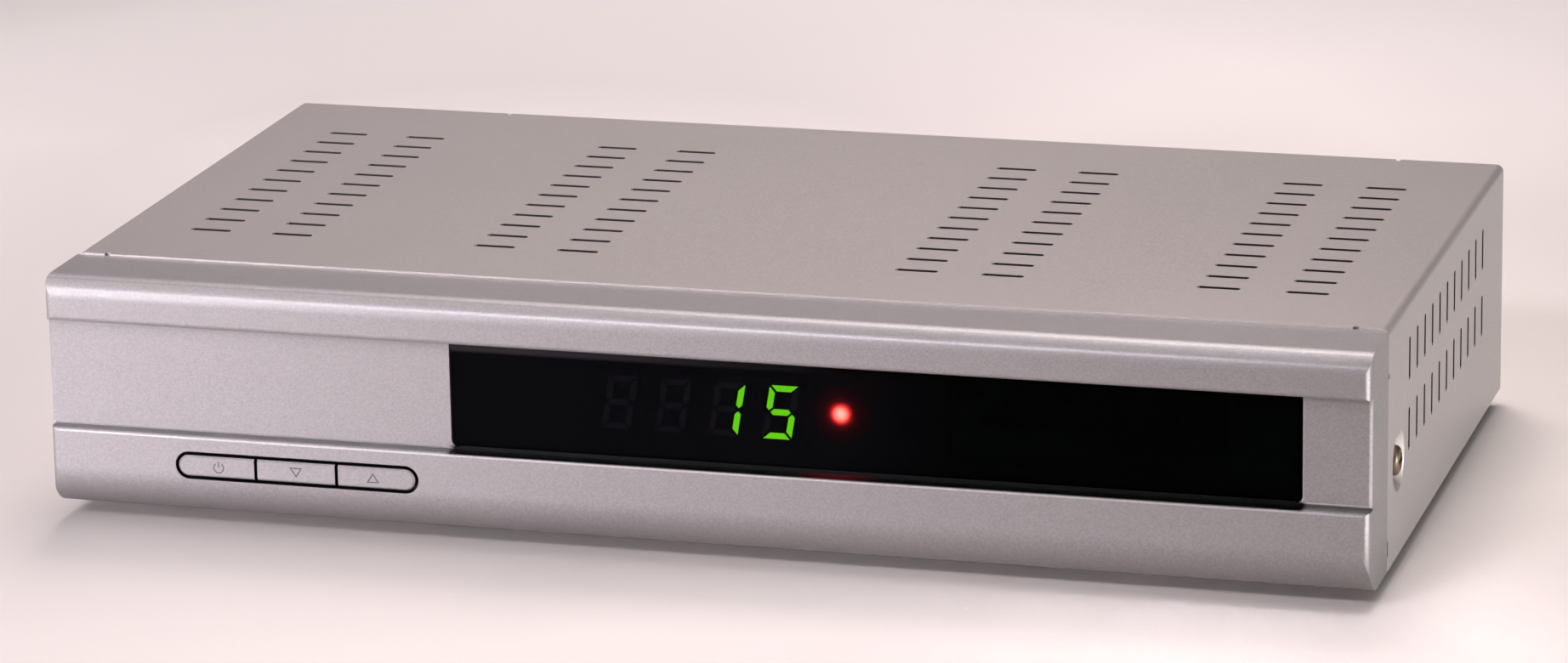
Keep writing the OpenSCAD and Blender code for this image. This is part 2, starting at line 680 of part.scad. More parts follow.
module front_bezel() {
    half = case_w / 2;
    boss_web = 4;
    color("gainsboro") difference() {
        union() {
            difference() {
                intersection() {
                    yz_extrude(-half, half) bezel_outline();
                    xy_extrude(z_bot - 1, z_top + 1)
                        rounded(-half, y_front, half, y_seam, ll = end_edge_r, lr = end_edge_r);
                }
                yz_extrude(-half + bezel_wall, half - bezel_wall) bezel_hollow();
                window_opening();
                key_opening();
            }
            bezel_tongue();
            key_rails();
            for (b = bezel_bosses) {
                y_bar(b[0], b[1], (b[1] > z_ledge ? y_mid_in : y_band_in) - 0.5, y_seam, boss_r);
                x_web = sign(b[0]) * (half - bezel_wall);
                block(min(b[0], x_web), max(b[0], x_web), y_seam - boss_web, y_seam - 1,
                    b[1] - rib_t / 2, b[1] + rib_t / 2);
            }
            for (p = posts_high) y_bar(p[0], p[1], y_mid_in - 0.5, y_front_board, front_post_r);
            for (p = posts_low) y_bar(p[0], p[1], y_band_in - 0.5, y_front_board, front_post_r);
        }
        for (b = bezel_bosses) y_bar(b[0], b[1], y_seam - tap_l - 1, y_seam + 1, tap_r + 0.05);
        for (p = front_posts) y_bar(p[0], p[1], y_front_board - tap_l - 1, y_front_board + 1, tap_r + 0.05);
    }
}
module tap_screw(x, y, z) {
    translate([x, y, z]) rotate([-90, 0, 0]) pan_screw(tap_r, tap_l, tap_head_r, tap_head_h);
}
module bezel_screws() {
    color("silver") {
        for (b = bezel_bosses) tap_screw(b[0], y_seam + seat_gap + sheet_t, b[1]);
        for (p = front_posts) tap_screw(p[0], y_front_board + board_t, p[1]);
    }
}

// Window: a bevelled face in the opening and a flange behind it
module display_window() {
    x0 = window_left + window_gap;
    x1 = window_left + window_w - window_gap;
    z0 = z_mid_bot + window_gap;
    z1 = z_mid_top - window_gap;
    y_flange_0 = y_mid_in + seat_gap;
    b = window_bevel;
    bevel_d = window_bevel * 0.7;
    color([0.05, 0.05, 0.06]) {
        intersection() {
            xz_extrude(y_mid, y_flange_0 + eps)
                rounded(x0, z0, x1, z1, ll = window_corner_r, lr = window_corner_r);
            xy_extrude(z0, z1) polygon([[x0, y_flange_0 + 1], [x0, y_mid + bevel_d], [x0 + b, y_mid],
                [x1 - b, y_mid], [x1, y_mid + bevel_d], [x1, y_flange_0 + 1]]);
            yz_extrude(x0, x1) polygon([[y_flange_0 + 1, z0], [y_mid + bevel_d, z0], [y_mid, z0 + b],
                [y_mid, z1 - b], [y_mid + bevel_d, z1], [y_flange_0 + 1, z1]]);
        }
        block(x0 - window_flange, x1 + window_flange, y_flange_0, y_flange_0 + window_flange_t,
            z0 - window_flange, z1 + window_flange);
    }
}

// Keys: one bevelled pill cut into three, each with a flange and a stem
module key_pill() {
    l = pill_w - 2 * key_gap;
    w = pill_h - 2 * key_gap;
    b = key_bevel;
    translate([keys_x, 0, key_z]) {
        xz_extrude(y_key + b, y_key_flange + eps) stadium(l, w);
        for (s = [-1, 1]) y_bar(s * (l - w) / 2, 0, y_key, y_key + b, w / 2 - b, w / 2);
        yz_extrude(-(l - w) / 2, (l - w) / 2) polygon([[y_key, -w / 2 + b], [y_key, w / 2 - b],
            [y_key + b, w / 2], [y_key + b, -w / 2]]);
    }
}
module key(i) {
    stem_r = 1.9;
    end_reach = key_flange + key_gap;
    x = keys_x + i * key_step;
    x0 = x - key_step / 2 + (i == -1 ? -end_reach : key_gap / 2);
    x1 = x + key_step / 2 + (i == 1 ? end_reach : -key_gap / 2);
    z_half = pill_h / 2 - key_gap;
    intersection() {
        key_pill();
        block(x0, x1, y_key - 1, y_front_board, key_z - pill_h, key_z + pill_h);
    }
    block(x0 + (i == -1 ? 2 * key_gap : 0), x1 - (i == 1 ? 2 * key_gap : 0),
        y_key_flange, y_key_flange + key_flange_t,
        key_z - z_half - key_flange, key_z + z_half + key_flange);
    y_bar(x, key_z, y_key_flange, y_plunger, stem_r);
}
module power_button() { color("gainsboro") key(-1); }
module channel_down_button() { color("gainsboro") key(0); }
module channel_up_button() { color("gainsboro") key(1); }
module plunger(i) {
    color("black") y_bar(keys_x + i * key_step, key_z, y_plunger, y_switch + key_travel, plunger_dia / 2);
}
module power_plunger() { plunger(-1); }
module channel_down_plunger() { plunger(0); }
module channel_up_plunger() { plunger(1); }
module key_switches() {
    plate_t = 0.3;
    h = switch_w / 2;
    color("dimgray") for (i = [-1 : 1]) {
        x = keys_x + i * key_step;
        difference() {
            union() {
                block(x - h, x + h, y_switch + plate_t, y_front_board, key_z - h, key_z + h);
                block(x - h + 0.3, x + h - 0.3, y_switch, y_switch + plate_t + eps,
                    key_z - h + 0.3, key_z + h - 0.3);
            }
            y_bar(x, key_z, y_switch - 1, y_front_board - 0.6, plunger_dia / 2 + plunger_clear);
        }
    }
}

// Front board
module front_board() {
    color("darkolivegreen") difference() {
        block(-front_board_left, front_board_right, y_front_board, y_front_board + board_t,
            z_front_board_0, z_front_board_1);
        for (p = front_posts) y_bar(p[0], p[1], y_front_board - 1, y_front_board + board_t + 1, tap_r + 0.2);
    }
}
// Seven-segment digits. A segment is a bar with mitred ends, slanted with the digit.
function slanted(p) = [p[0] + p[1] * tan(digit_slant), p[1]];
function outline_of(points, at) = [for (p = points) slanted(p) + at];
function across(z, side) =
    let (a = digit_w / 2 - segment_gap, t = segment_t)
    [[-a, z], [a, z], [a - t, z - side * t], [-a + t, z - side * t]];
function middle_bar() =
    let (a = digit_w / 2 - segment_gap - segment_t / 2, t = segment_t / 2)
    [[-a, 0], [-a + t, t], [a - t, t], [a, 0], [a - t, -t], [-a + t, -t]];
function upright(sx, sz) =
    let (a = digit_w / 2, t = segment_t, g = segment_gap, top = digit_h / 2 - g)
    [[sx * a, sz * top], [sx * a, sz * (g + t / 2)], [sx * (a - t / 2), sz * g],
     [sx * (a - t), sz * (g + t / 2)], [sx * (a - t), sz * (top - t)]];
// The segments in the order a to g: top, right pair, bottom, left pair, middle
function segment(i) = i == 0 ? across(digit_h / 2, 1) : i == 1 ? upright(1, 1) : i == 2 ? upright(1, -1)
    : i == 3 ? across(-digit_h / 2, -1) : i == 4 ? upright(-1, -1) : i == 5 ? upright(-1, 1) : middle_bar();
digit_x = [for (i = [0 : 3]) (i - 1.5) * digit_pitch];
// The readout shows 15 on its two right-hand digits
shown = [[], [], [1, 2], [0, 2, 3, 5, 6]];
y_readout = y_front_board - readout_d;
function is_lit(digit, seg) = len([for (s = shown[digit]) if (s == seg) s]) > 0;
module segments(lit, grow = 0) {
    for (d = [0 : 3], s = [0 : 6]) if (is_lit(d, s) == lit)
        xz_extrude(y_readout - grow, y_readout + segment_d)
            polygon(outline_of(segment(s), [digit_x[d], readout_z]));
}
module readout_body() {
    h = readout_h / 2;
    color("black") difference() {
        block(-readout_w / 2, readout_w / 2, y_readout, y_front_board, readout_z - h, readout_z + h);
        segments(true, 1);
        segments(false, 1);
    }
}
module lit_segments() { color("lime") segments(true); }
module dark_segments() { color("darkslategray") segments(false); }
module standby_lamp() {
    r = lamp_dia / 2;
    y1 = y_front_board - spacer_h;
    color("red") {
        y_bar(lamp_x, lamp_z, y1 - lamp_h + r, y1, r);
        y_bar(lamp_x, lamp_z, y1 - 1, y1, r + 0.4);
        translate([lamp_x, y1 - lamp_h + r, lamp_z]) sphere(r);
    }
}
module lamp_spacer() {
    color("black") y_bar(lamp_x, lamp_z, y_front_board - spacer_h, y_front_board, lamp_dia / 2 + 0.5);
}
module remote_receiver() {
    w = 5.8;
    h = 6.8;
    d = 4.2;
    lens_r = 2.2;
    color("black") translate([receiver_x, y_front_board, readout_z]) {
        block(-w / 2, w / 2, -d, 0, -h / 2, h / 2);
        translate([0, -d, 0]) sphere(lens_r);
    }
}

// Cables and their headers
module header_box(x, y, z, w, d, h) {
    wall = 0.8;
    difference() {
        block(x - w / 2, x + w / 2, y - d / 2, y + d / 2, z, z + h);
        block(x - w / 2 + wall, x + w / 2 - wall, y - d / 2 + wall, y + d / 2 - wall, z + h - 1.5, z + h + 1);
    }
}
y_front_header = y_front_board + board_t;
z_lead = z_parts + header_h;
module cable_headers() {
    color("ivory") {
        header_box(front_cable_x, main_header_y, z_parts, header_w, header_d, header_h);
        translate([front_cable_x, y_front_header, front_header_z]) rotate([-90, 0, 0])
            header_box(0, 0, 0, header_w, header_d, header_h);
        header_box(lead_x0, lead_y, z_parts, header_d, header_w, header_h);
        header_box(lead_x1, lead_y, z_parts, header_d, header_w, header_h);
    }
}
// A quarter bend of a ribbon about the origin, from +X round to +Y
module ribbon_bend_2d() {
    intersection() {
        difference() {
            circle(ribbon_bend + ribbon_t / 2);
            circle(ribbon_bend - ribbon_t / 2);
        }
        square(2 * ribbon_bend);
    }
}
module front_cable() {
    plug = 1.4;
    y_low = main_header_y;
    y_turn = y_low - ribbon_bend;
    z_turn = front_header_z - ribbon_bend;
    y_end = y_front_header + header_h - plug;
    t = ribbon_t / 2;
    color("lightgray") yz_extrude(front_cable_x - ribbon_w / 2, front_cable_x + ribbon_w / 2) {
        translate([y_low - t, z_lead - plug]) square([ribbon_t, z_turn - z_lead + plug + eps]);
        translate([y_turn, z_turn]) ribbon_bend_2d();
        translate([y_end, front_header_z - t]) square([y_turn - y_end + eps, ribbon_t]);
    }
}
module power_cable() {
    plug = 1.4;
    t = ribbon_t / 2;
    z_turn = z_lead + lead_rise;
    color("firebrick") xz_extrude(lead_y - ribbon_w / 2, lead_y + ribbon_w / 2) {
        for (x = [lead_x0, lead_x1]) translate([x - t, z_lead - plug])
            square([ribbon_t, lead_rise + plug + eps]);
        translate([lead_x1 - ribbon_bend, z_turn]) ribbon_bend_2d();
        translate([lead_x0 + ribbon_bend, z_turn]) mirror([1, 0]) ribbon_bend_2d();
        translate([lead_x0 + ribbon_bend - eps, z_turn + ribbon_bend - t])
            square([lead_x1 - lead_x0 - 2 * ribbon_bend + 2 * eps, ribbon_t]);
    }
}

// Main board
module drilled_board(x0, x1, y0, y1, holes) {
    difference() {
        block(x0, x1, y0, y1, z_board, z_parts);
        for (p = holes) translate([p[0], p[1], z_board - 1]) cylinder(h = board_t + 2, r = screw_hole_r);
    }
}
module main_board() { color("darkgreen") drilled_board(main_x0, main_x1, main_y0, main_y1, main_holes); }
module board_screws() {
    color("silver") for (p = board_holes) translate([p[0], p[1], z_parts])
        pan_screw(screw_dia / 2, screw_l, screw_head_dia / 2, screw_head_h);
}
module tuner_can() {
    lid = tuner_lid;
    lid_h = 3;
    wall = 0.6;
    half = tuner_w / 2;
    y0 = y_tuner - tuner_d;
    color("lightgray") difference() {
        union() {
            block(tuner_x - half, tuner_x + half, y0, y_tuner, z_parts, z_parts + tuner_h);
            block(tuner_x - half - lid, tuner_x + half + lid, y0 - lid, y_tuner,
                z_parts + tuner_h - lid_h, z_parts + tuner_h + lid);
        }
        block(tuner_x - half + wall, tuner_x + half - wall, y0 + wall, y_tuner - wall,
            z_parts - 1, z_parts + tuner_h - wall);
    }
}
insulator_r = 2.6;
insulator_set = 0.6;
module aerial_sockets() {
    y_end = y_back + aerial_out;
    color("silver") for (x = aerial_x) difference() {
        union() {
            y_bar(x, aerial_z, y_tuner, y_end, aerial_r);
            y_bar(x, aerial_z, y_tuner, y_wall + 0.4, aerial_r + shoulder);
            y_bar(x, aerial_z, y_tuner, y_wall_in - 0.2, aerial_r + 1.6);
        }
        y_bar(x, aerial_z, y_tuner + 1, y_end + 1, insulator_r);
    }
}
module aerial_insulators() {
    y_end = y_back + aerial_out - insulator_set;
    color("white") for (x = aerial_x) difference() {
        y_bar(x, aerial_z, y_tuner + 1, y_end, insulator_r - 0.05);
        y_bar(x, aerial_z, y_end - 6, y_end + 1, 0.6);
    }
}

// Jacks: a block with a bored core for each plug, a shell round the core and a coloured collar
y_jack = y_wall_in - seat_gap;
module jack_block(xs) {
    depth = 11;
    height = 14;
    core_hole_r = 1.6;
    x_mid = (min(xs) + max(xs)) / 2;
    w = jack_block_w;
    difference() {
        union() {
            block(x_mid - w / 2, x_mid + w / 2, y_jack - depth, y_jack, z_parts, z_parts + height);
            for (x = xs) y_bar(x, jack_z, y_jack - eps, y_wall + jack_out - 0.6, jack_core_r);
        }
        for (x = xs) y_bar(x, jack_z, y_jack - 6, y_wall + jack_out + 1, core_hole_r);
    }
}
module av_jack_block() { color("black") jack_block(av_x); }
module component_jack_block() { color("black") jack_block(component_x); }
module jack_shells() {
    color("silver") for (x = concat(av_x, component_x)) difference() {
        union() {
            y_bar(x, jack_z, y_jack, y_wall + jack_out, jack_r);
            y_bar(x, jack_z, y_jack, y_wall + collar_out, jack_r + shoulder);
        }
        y_bar(x, jack_z, y_jack - 1, y_wall + jack_out + 1, jack_r - jack_shell_t);
    }
}
module collar(x) {
    difference() {
        y_bar(x, jack_z, y_jack, y_wall + collar_out, collar_r);
        y_bar(x, jack_z, y_jack - 1, y_wall + collar_out + 1, jack_r + shoulder + 0.1);
    }
}
module red_jack_collars() {
    color("red") {
        collar(av_x[2]);
        collar(component_x[2]);
    }
}
module white_jack_collar() { color("white") collar(av_x[1]); }
module yellow_jack_collar() { color("gold") collar(av_x[0]); }
module blue_jack_collar() { color("blue") collar(component_x[1]); }
module green_jack_collar() { color("green") collar(component_x[0]); }

// Serial port: a D-shaped shell on a flange, its socketed insert and two hex posts
module serial_port() {
    flange_w = serial_flange_w;
    flange_h = 12.4;
    body_d = 9;
    shell_out = 5.6;
    color("silver") translate([serial_x, 0, serial_z]) difference() {
        union() {
            block(-flange_w / 2, flange_w / 2, y_jack - 0.8, y_jack, -flange_h / 2, flange_h / 2);
            block(-serial_w / 2 - 1, serial_w / 2 + 1, y_jack - body_d, y_jack - 0.4,
                z_parts - serial_z, flange_h / 2);
            xz_extrude(y_jack - eps, y_wall + shell_out) polygon(d_outline(serial_w, serial_h, 0));
        }
        xz_extrude(y_jack - 4, y_wall + shell_out + 1)
            polygon(d_outline(serial_w, serial_h, -serial_shell_t));
        for (s = [-1, 1]) y_bar(s * serial_post_x, 0, y_jack - 2, y_jack + 1, 1.5);
    }
}
module serial_insert() {
    insert_out = 5.2;
    pin_pitch = 2.77;
    row = 1.42;
    color("black") translate([serial_x, 0, serial_z]) difference() {
        xz_extrude(y_jack - 4, y_wall + insert_out)
            polygon(d_outline(serial_w, serial_h, -serial_shell_t - 0.05));
        for (i = [-2 : 2]) y_bar(i * pin_pitch, row, y_wall, y_wall + insert_out + 1, 0.55);
        for (i = [-1.5 : 1.5]) y_bar(i * pin_pitch, -row, y_wall, y_wall + insert_out + 1, 0.55);
    }
}
module serial_posts() {
    hex_r = 2.9;
    post_out = 5;
    color("silver") for (s = [-1, 1]) translate([serial_x + s * serial_post_x, 0, serial_z]) difference() {
        union() {
            translate([0, y_wall, 0]) rotate([-90, 0, 0]) cylinder(h = post_out, r = hex_r, $fn = 6);
            y_bar(0, 0, y_jack - 1.6, y_wall + eps, 1.4);
        }
        y_bar(0, 0, y_wall + 0.8, y_wall + post_out + 1, 1.3);
    }
}

// Chips and small parts of the main board
decoder_w = 27;
decoder_h = 2.4;
decoder_x = (main_x0 + main_x1) / 2 - 18;
decoder_y = main_y0 + 34;
module decoder_chip() {
    half = decoder_w / 2;
    cap_half = half - 1.5;
    color("black") translate([decoder_x, decoder_y, z_parts]) {
        block(-half, half, -half, half, 0, decoder_h / 2);
        block(-cap_half, cap_half, -cap_half, cap_half, 0, decoder_h);
    }
}
module decoder_heat_sink() {
    fins = 9;
    fin_h = 9;
    base_h = 2;
    fin_t = 1.1;
    w = decoder_w + 2;
    color("silver") translate([decoder_x, decoder_y, z_parts + decoder_h]) {
        block(-w / 2, w / 2, -w / 2, w / 2, 0, base_h);
        for (i = [0 : fins - 1]) translate([-w / 2 + i * (w - fin_t) / (fins - 1), -w / 2, base_h - eps])
            cube([fin_t, w, fin_h]);
    }
}
// Two working-memory chips on the decoder's right and a program chip on its left
memory_in = 36;
memory_w = 22;
memory_d = 10;
memory_pitch = 16;
program_in = 32;
program_w = 18;
program_d = 12;
chip_h = 1.2;
module memory_chips() {
    color("black") {
        for (s = [-1, 1]) translate([decoder_x + memory_in, decoder_y + s * memory_pitch / 2, z_parts])
            flat_chip(memory_w, memory_d, chip_h, 11);
        translate([decoder_x - program_in, decoder_y, z_parts]) rotate(90)
            flat_chip(program_w, program_d, chip_h, 10);
    }
}
module crystal() {
    color("silver") translate([decoder_x + 2, decoder_y + decoder_w / 2 + 8, z_parts]) {
        linear_extrude(height = 0.6) stadium(11.4, 5);
        linear_extrude(height = 3.5) stadium(10.4, 4);
    }
}
// Two rows of capacitors, a large one by the jacks and a small one along the board's front edge
large_cap_dia = 8;
large_cap_h = 12;
large_cap_pitch = 11;
large_cap_in = 24;
large_cap_back = 30;
small_cap_dia = 6.3;
small_cap_h = 11;
small_cap_pitch = 9;
small_cap_in = 52;
small_cap_front = 14;
module main_capacitors() {
    color("midnightblue") {
        for (i = [0 : 3])
            translate([main_x0 + large_cap_in + i * large_cap_pitch, main_y1 - large_cap_back, z_parts])
                can_capacitor(large_cap_dia, large_cap_h);
        for (i = [0 : 2])
            translate([main_x1 - small_cap_in + i * small_cap_pitch, main_y0 + small_cap_front, z_parts])
                can_capacitor(small_cap_dia, small_cap_h);
    }
}

// Power board
module power_board() { color("peru") drilled_board(power_x0, power_x1, power_y0, power_y1, power_holes); }
module insulation_sheet() {
    t = 0.4;
    y0 = min(power_y0, foot_y[0] - foot_dia / 2);
    color("whitesmoke") difference() {
        block(power_x0, power_x1, y0, power_y1, z_floor, z_floor + t);
        for (p = power_holes) translate([p[0], p[1], z_floor - 1]) cylinder(h = 3, r = standoff_r + 1.8);
        for (p = feet) translate([p[0], p[1], z_floor - 1]) cylinder(h = 3, r = foot_stem_r + 1.4);
    }
}
module mains_inlet() {
    body_d = 16;
    wall_r = 2;
    color([0.1, 0.1, 0.1]) translate([inlet_x, 0, inlet_z]) difference() {
        union() {
            xz_extrude(y_inlet - body_d, y_inlet)
                rounded(-inlet_w / 2, -inlet_h / 2, inlet_w / 2, inlet_h / 2, wall_r, wall_r, wall_r, wall_r);
            block(-inlet_w / 2, inlet_w / 2, y_inlet - body_d, y_wall_in - 1.2, z_parts - inlet_z, 0);
        }
        xz_extrude(y_inlet - inlet_depth, y_inlet + 1) {
            square([inlet_pitch, 2 * inlet_r], center = true);
            for (s = [-1, 1]) translate([s * inlet_pitch / 2, 0]) circle(inlet_r);
        }
        for (s = [-1, 1])
            y_bar(s * inlet_pitch / 2, 0, y_inlet - body_d - 1, y_inlet, inlet_pin_dia / 2 + 0.05);
    }
}
module inlet_pins() {
    pin_set = 2.5;
    r = inlet_pin_dia / 2;
    color("silver") for (s = [-1, 1]) translate([inlet_x + s * inlet_pitch / 2, 0, inlet_z]) {
        y_bar(0, 0, y_inlet - 17, y_inlet - pin_set - r, r);
        translate([0, y_inlet - pin_set - r, 0]) sphere(r);
    }
}
fuse_x = power_x0 + 40;
fuse_y = power_y1 - 12;
fuse_z = z_parts + 5.2;
fuse_r = 2.6;
fuse_l = 20;
module fuse() {
    cap_l = 5;
    color("gainsboro") {
        x_bar(fuse_y, fuse_z, fuse_x - fuse_l / 2, fuse_x + fuse_l / 2, fuse_r - 0.2);
        for (s = [-1, 1]) translate([s * (fuse_l - cap_l) / 2, 0, 0])
            x_bar(fuse_y, fuse_z, fuse_x - cap_l / 2, fuse_x + cap_l / 2, fuse_r);
    }
}
module fuse_clips() {
    clip_w = 4;
    t = 0.4;
    r = fuse_r + 0.05;
    color("silver") for (s = [-1, 1]) translate([fuse_x + s * (fuse_l / 2 - 2.5), 0, 0]) difference() {
        union() {
            x_bar(fuse_y, fuse_z, -clip_w / 2, clip_w / 2, r + t);
            block(-clip_w / 2, clip_w / 2, fuse_y - 1.5, fuse_y + 1.5, z_parts, fuse_z - r);
        }
        x_bar(fuse_y, fuse_z, -clip_w, clip_w, r);
        block(-clip_w, clip_w, fuse_y - 1.6, fuse_y + 1.6, fuse_z, fuse_z + 5);
    }
}
module line_choke() {
    ring_r = 7;
    core_t = 4;
    wind_t = 6.4;
    width = 7;
    base_h = 1.5;
    z_mid = z_parts + base_h + ring_r + wind_t / 2 - 0.5;
    color("darkorange") translate([power_x0 + choke_in, power_y1 - choke_back, 0]) {
        block(-9, 9, -width / 2, width / 2, z_parts, z_parts + base_h + 1.5);
        translate([0, 0, z_mid]) rotate([90, 0, 0]) {
            rotate_extrude() translate([ring_r, 0]) square([core_t, width - 2], center = true);
            for (a = [-60, 120]) rotate(a) rotate_extrude(angle = 120)
                translate([ring_r, 0]) square([wind_t, width], center = true);
        }
    }
}
module bridge_rectifier() {
    color("black") translate([power_x0 + bridge_in, power_y1 - bridge_back, z_parts]) {
        block(-8, 8, -2, 2, 3, 15);
        for (i = [-1.5 : 1.5]) translate([i * 3.8, 0, 0]) cylinder(h = 4, r = 0.6);
    }
}
module bulk_capacitor() {
    color("midnightblue") translate([power_x0 + bulk_in, power_y1 - bulk_back, z_parts])
        can_capacitor(bulk_dia, bulk_h);
}
transformer_x = power_x0 + transformer_in;
transformer_y = power_y1 - transformer_back;
core_w = 25;
core_h = 20;
core_d = 7;
core_leg = 4;
core_rise = 3;
module transformer_core() {
    z0 = z_parts + core_rise;
    window_each = (core_w - 2 * core_leg - core_d) / 2;
    color("dimgray") xz_extrude(transformer_y - core_d / 2, transformer_y + core_d / 2) difference() {
        translate([transformer_x - core_w / 2, z0]) square([core_w, core_h]);
        for (s = [-1, 1]) translate([transformer_x + s * (core_d + window_each) / 2, z0 + core_h / 2])
            square([window_each, core_h - 2 * core_leg], center = true);
    }
}
module transformer_winding() {
    gap = 0.2;
    z0 = z_parts + core_rise + core_leg + gap;
    z1 = z_parts + core_rise + core_h - core_leg - gap;
    out = core_w / 2 - core_leg - gap;
    color("khaki") translate([transformer_x, transformer_y, 0]) {
        difference() {
            xy_extrude(z0, z1) rounded(-out, -out, out, out, ll = 2, lr = 2, ur = 2, ul = 2);
            block(-core_d / 2 - gap, core_d / 2 + gap, -core_d / 2 - gap, core_d / 2 + gap, z0 - 1, z1 + 1);
        }
        for (s = [-1, 1]) block(-out, out, s * (out + 1.5) - 2.5, s * (out + 1.5) + 2.5, z_parts, z0 + 1);
    }
}
sink_y = power_y1 - sink_back;
sink_clear = 4;
sink_w = power_w - sink_in - sink_clear;
sink_h = 26;
sink_foot = 9;
sink_t = 1.6;
module power_heat_sink() {
    x0 = power_x0 + sink_in;
    color("silver") {
        yz_extrude(x0, x0 + sink_w) {
            translate([sink_y, z_parts]) square([sink_t, sink_h]);
            translate([sink_y, z_parts + sink_h - sink_t]) square([sink_foot, sink_t]);
        }
    }
}
transistor_w = 10;
transistor_d = 4.4;
transistor_tab = 1.4;
transistor_z = [8, 17.5, 23];
transistor_pitch = 2.5;
lead_t = 0.6;
module power_transistor() {
    half = transistor_w / 2;
    lead_d = transistor_d / 2;
    z = transistor_z;
    color("black") translate([power_x0 + sink_in + sink_w / 2, sink_y - seat_gap / 2, z_parts]) {
        block(-half, half, -transistor_d, 0, z[0], z[1]);
        block(-half, half, -transistor_tab, 0, z[1] - eps, z[2]);
        for (i = [-1 : 1]) translate([i * transistor_pitch, -lead_d, 0])
            block(-lead_t / 2, lead_t / 2, -lead_t / 2, lead_t / 2, 0, z[0] + eps);
    }
}
module output_capacitors() {
    color("midnightblue") for (i = [0 : 2])
        translate([(power_x0 + power_x1) / 2 + (i - 1) * output_pitch, power_y1 - output_back, z_parts])
            can_capacitor(output_dia, output_h);
}

top_cover();
base_tray();
board_standoffs();
front_bezel();
rubber_feet();
cover_screws();
bezel_screws();
display_window();
power_button();
channel_down_button();
channel_up_button();
power_plunger();
channel_down_plunger();
channel_up_plunger();
key_switches();
front_board();
readout_body();
lit_segments();
dark_segments();
standby_lamp();
lamp_spacer();
remote_receiver();
cable_headers();
front_cable();
power_cable();
main_board();
board_screws();
tuner_can();
aerial_sockets();
aerial_insulators();
av_jack_block();
component_jack_block();
jack_shells();
yellow_jack_collar();
white_jack_collar();
red_jack_collars();
green_jack_collar();
blue_jack_collar();
serial_port();
serial_insert();
serial_posts();
decoder_chip();
decoder_heat_sink();
memory_chips();
crystal();
main_capacitors();
power_board();
insulation_sheet();
mains_inlet();
inlet_pins();
fuse_clips();
fuse();
line_choke();
bridge_rectifier();
bulk_capacitor();
transformer_core();
transformer_winding();
power_heat_sink();
power_transistor();
output_capacitors();
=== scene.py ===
import math

import bmesh
import bpy
from mathutils import Matrix, Vector


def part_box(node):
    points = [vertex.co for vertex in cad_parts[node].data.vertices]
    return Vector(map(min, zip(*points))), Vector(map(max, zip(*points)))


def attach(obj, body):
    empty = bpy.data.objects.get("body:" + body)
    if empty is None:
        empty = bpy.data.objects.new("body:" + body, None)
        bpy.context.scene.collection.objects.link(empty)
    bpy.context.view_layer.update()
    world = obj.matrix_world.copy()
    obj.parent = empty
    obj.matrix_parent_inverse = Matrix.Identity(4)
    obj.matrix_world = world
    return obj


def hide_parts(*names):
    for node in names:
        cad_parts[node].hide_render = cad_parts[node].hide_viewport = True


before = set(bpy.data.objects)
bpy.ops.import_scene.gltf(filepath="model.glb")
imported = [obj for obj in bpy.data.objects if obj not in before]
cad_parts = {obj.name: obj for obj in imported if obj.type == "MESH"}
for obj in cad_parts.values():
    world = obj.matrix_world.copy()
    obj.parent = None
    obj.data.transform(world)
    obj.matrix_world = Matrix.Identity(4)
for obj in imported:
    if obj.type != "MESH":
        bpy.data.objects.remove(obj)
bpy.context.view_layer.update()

# Digital television receiver: finishes, small pieces, floor, lights and camera.
# Metres, in the same frame as the solids.
MM = 0.001

# Camera, fitted to the case's edges in the photograph
CAMERA_PLACE = (0.3191, -1.11365, 0.3513)
CAMERA_AHEAD = (-0.26764513, 0.92455558, -0.27122513)
CAMERA_RIGHT = (0.9617473, 0.27340631, -0.01706205)
SENSOR_WIDTH = 36.0
IMAGE_WIDTH = 1844
FOCAL_PIXELS = 7360.73

# Sizes of the solids that the paint and the signs follow: the pill-shaped opening of the keys, the gaps in
# it and the distance from key to key, the heights of the ledge under the window and of the middle band,
# how far that band is set back, the window's hidden flange, and the axis of the right-hand screw dish
PILL_LENGTH = 47.6 * MM
PILL_HEIGHT = 5.15 * MM
KEY_GAP = 0.5 * MM
KEY_STEP = 15.87 * MM
LEDGE = (19.05 * MM, 19.95 * MM)
MIDDLE_BAND = (19.9 * MM, 39.7 * MM)
BAND_STEP = 1.9 * MM
WINDOW_FLANGE = 1.6 * MM
DISH = (125.0 * MM, -46.35 * MM, 21.0 * MM)
# How near a point has to lie to count as on a face
ON_FACE = 0.05 * MM

# Paint and metal
COVER_SILVER = (0.318, 0.288, 0.279)
BEZEL_SILVER = (0.263, 0.242, 0.242)
BEZEL_COAT = 0.62
NICKEL = (0.70, 0.68, 0.63)
BLACK = (0.018, 0.018, 0.020)
UNLIT = (0.0, 0.0, 0.0)

# Colours of the lamps
KEY_TINT = (0.955, 0.915, 1.0)
REAR_TINT = (1.0, 0.87, 0.86)
ROOM_TINT = (1.0, 0.973, 0.99)
EDGE_TINT = (0.95, 0.99, 1.0)

# Patches of painted shade and painted light on the floor's paper, which darken the lamps' pools and
# lighten or deepen the shadows: centre, factor, and the distances from the centre between which it fades
FLOOR_PAINTED_LIGHT = (
    ((-0.20, -0.03), 0.56, (0.03, 0.24)),
    ((0.19, 0.17), 0.88, (0.03, 0.17)),
    ((0.085, -0.085), 1.19, (0.02, 0.11)),
    ((-0.12, 0.19), 0.785, (0.10, 0.20)),
    ((0.175, -0.035), 0.83, (0.02, 0.055)),
    ((0.06, -0.17), 0.80, (0.03, 0.09)),
    ((-0.42, -0.38), 0.78, (0.10, 0.30)),
)
FLOOR_REACH = 4.0

